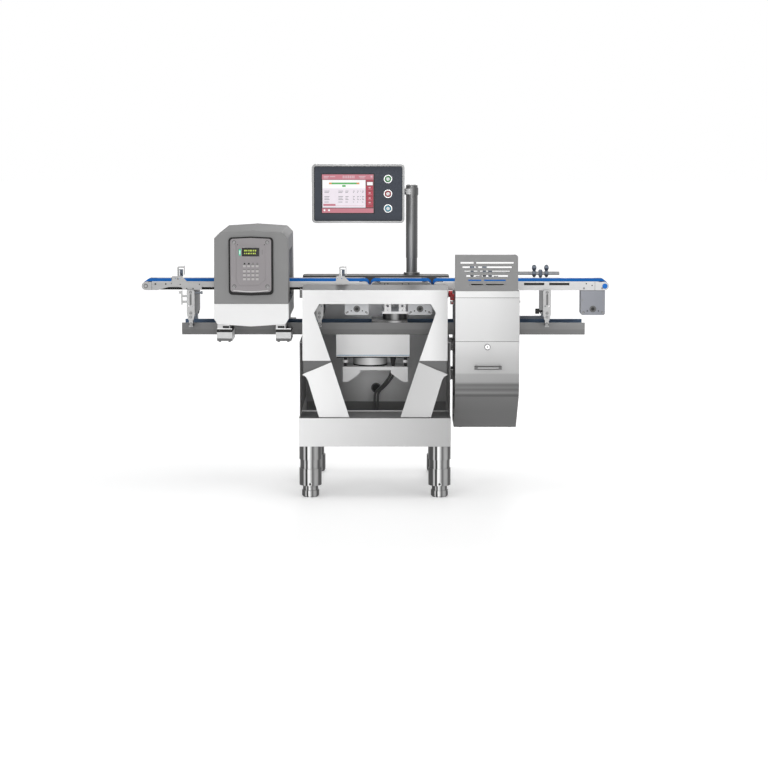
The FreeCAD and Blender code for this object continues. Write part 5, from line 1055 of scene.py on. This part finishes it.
def sensor_details():
    """Lens and lamp of each light barrier."""
    x, y, z = span("barrier_sensors")
    lenses, lamps = Shape("sensor_lenses"), Shape("sensor_stripes")
    for left in (x[0], x[1] - 16):
        lenses.disc("y", (left + 10, y[0] - 0.4, z[0] + 9), 3.6, 0.6, 24)
        lamps.block((left + 1, left + 4), (y[0] - 0.3, y[0] + 0.2), (z[0] + 2, z[1] - 2))
    lenses.add("window_black", "window_black")
    lamps.add("light_metal", "bright_steel")


terminal_screen()
terminal_details()
control_details()
panel_lamps()
plate_details()
housing_details()
support_details()
mount_details()
box_details()
frame_details()
cabinet_details()
rod_details()
sensor_details()


# floor, light and camera

def area_light(name, place, target, size, power, size_y=None):
    data = bpy.data.lights.new(name, "AREA")
    data.shape = "RECTANGLE"
    data.size = size
    data.size_y = size_y or size
    data.energy = power
    lamp = bpy.data.objects.new(name, data)
    scene.collection.objects.link(lamp)
    lamp.location = place
    lamp.rotation_euler = (Vector(target) - Vector(place)).to_track_quat("-Z", "Y").to_euler()
    return lamp


area_light("top_light", (0.0, -0.3, 3.6), (0, 0, 0), 3.6, 42, 2.4)
area_light("front_left_light", (-2.6, -4.6, 2.4), (-0.2, 0, 0.8), 2.2, 48)
area_light("front_right_light", (3.0, -3.6, 1.8), (0.2, 0, 0.7), 1.6, 20)
area_light("front_low_light", (0.2, -5.4, 0.9), (0, 0, 0.6), 1.8, 40)
area_light("rear_light", (0.5, 3.6, 2.6), (0, 0, 0.8), 2.0, 45)


def seen_by(tree, names):
    """1 for the kinds of ray named, and 0 for the rest."""
    path = tree.nodes.new("ShaderNodeLightPath")
    total = path.outputs[names[0]]
    for name in names[1:]:
        larger = tree.nodes.new("ShaderNodeMath")
        larger.operation = "MAXIMUM"
        tree.links.new(total, larger.inputs[0])
        tree.links.new(path.outputs[name], larger.inputs[1])
        total = larger.outputs[0]
    return total


world = bpy.data.worlds.new("studio")
scene.world = world
world.use_nodes = True
background = world.node_tree.nodes["Background"]
background.inputs["Color"].default_value = (1, 1, 1, 1)
level = world.node_tree.nodes.new("ShaderNodeMapRange")
level.inputs["To Min"].default_value = 0.45
level.inputs["To Max"].default_value = 1.0
world.node_tree.links.new(
    seen_by(world.node_tree, ["Is Camera Ray", "Is Transmission Ray", "Is Glossy Ray"]),
    level.inputs["Value"])
world.node_tree.links.new(level.outputs["Result"], background.inputs["Strength"])

FLOOR_HALF = 30.0


def floor_material():
    """Pale floor that keeps the shadow: part of its white is its own for what looks at it."""
    material = bpy.data.materials.new("studio_floor")
    material.use_nodes = True
    tree = material.node_tree
    bsdf = tree.nodes["Principled BSDF"]
    bsdf.inputs["Base Color"].default_value = (0.8, 0.8, 0.8, 1)
    bsdf.inputs["Roughness"].default_value = 0.6
    bsdf.inputs["Emission Color"].default_value = (1, 1, 1, 1)
    place = tree.nodes.new("ShaderNodeTexCoord")
    reach = tree.nodes.new("ShaderNodeVectorMath")
    reach.operation = "LENGTH"
    tree.links.new(place.outputs["Object"], reach.inputs[0])
    glow = tree.nodes.new("ShaderNodeMapRange")
    for key, value in (("From Min", 1.3), ("From Max", 3.0), ("To Min", 0.3), ("To Max", 0.65)):
        glow.inputs[key].default_value = value
    tree.links.new(reach.outputs["Value"], glow.inputs["Value"])
    share = tree.nodes.new("ShaderNodeMath")
    share.operation = "MULTIPLY"
    tree.links.new(glow.outputs["Result"], share.inputs[1])
    tree.links.new(seen_by(tree, ["Is Camera Ray", "Is Glossy Ray"]), share.inputs[0])
    tree.links.new(share.outputs[0], bsdf.inputs["Emission Strength"])
    return material


mesh = bpy.data.meshes.new("floor")
corners = [(-FLOOR_HALF, -FLOOR_HALF, 0), (FLOOR_HALF, -FLOOR_HALF, 0),
           (FLOOR_HALF, FLOOR_HALF, 0), (-FLOOR_HALF, FLOOR_HALF, 0)]
mesh.from_pydata(corners, [], [(0, 1, 2, 3)])
floor = bpy.data.objects.new("floor", mesh)
scene.collection.objects.link(floor)
floor.data.materials.append(floor_material())

camera_data = bpy.data.cameras.new("camera")
camera_data.lens = 96.4
camera_data.shift_y = -0.1
camera_data.clip_end = 100
camera = bpy.data.objects.new("camera", camera_data)
scene.collection.objects.link(camera)
camera.location = (0.0680, -8.4097, 1.5933)
camera.rotation_euler = (math.radians(90 - 5.85), 0, math.radians(0.225))
scene.camera = camera
scene.view_settings.view_transform = "Standard"
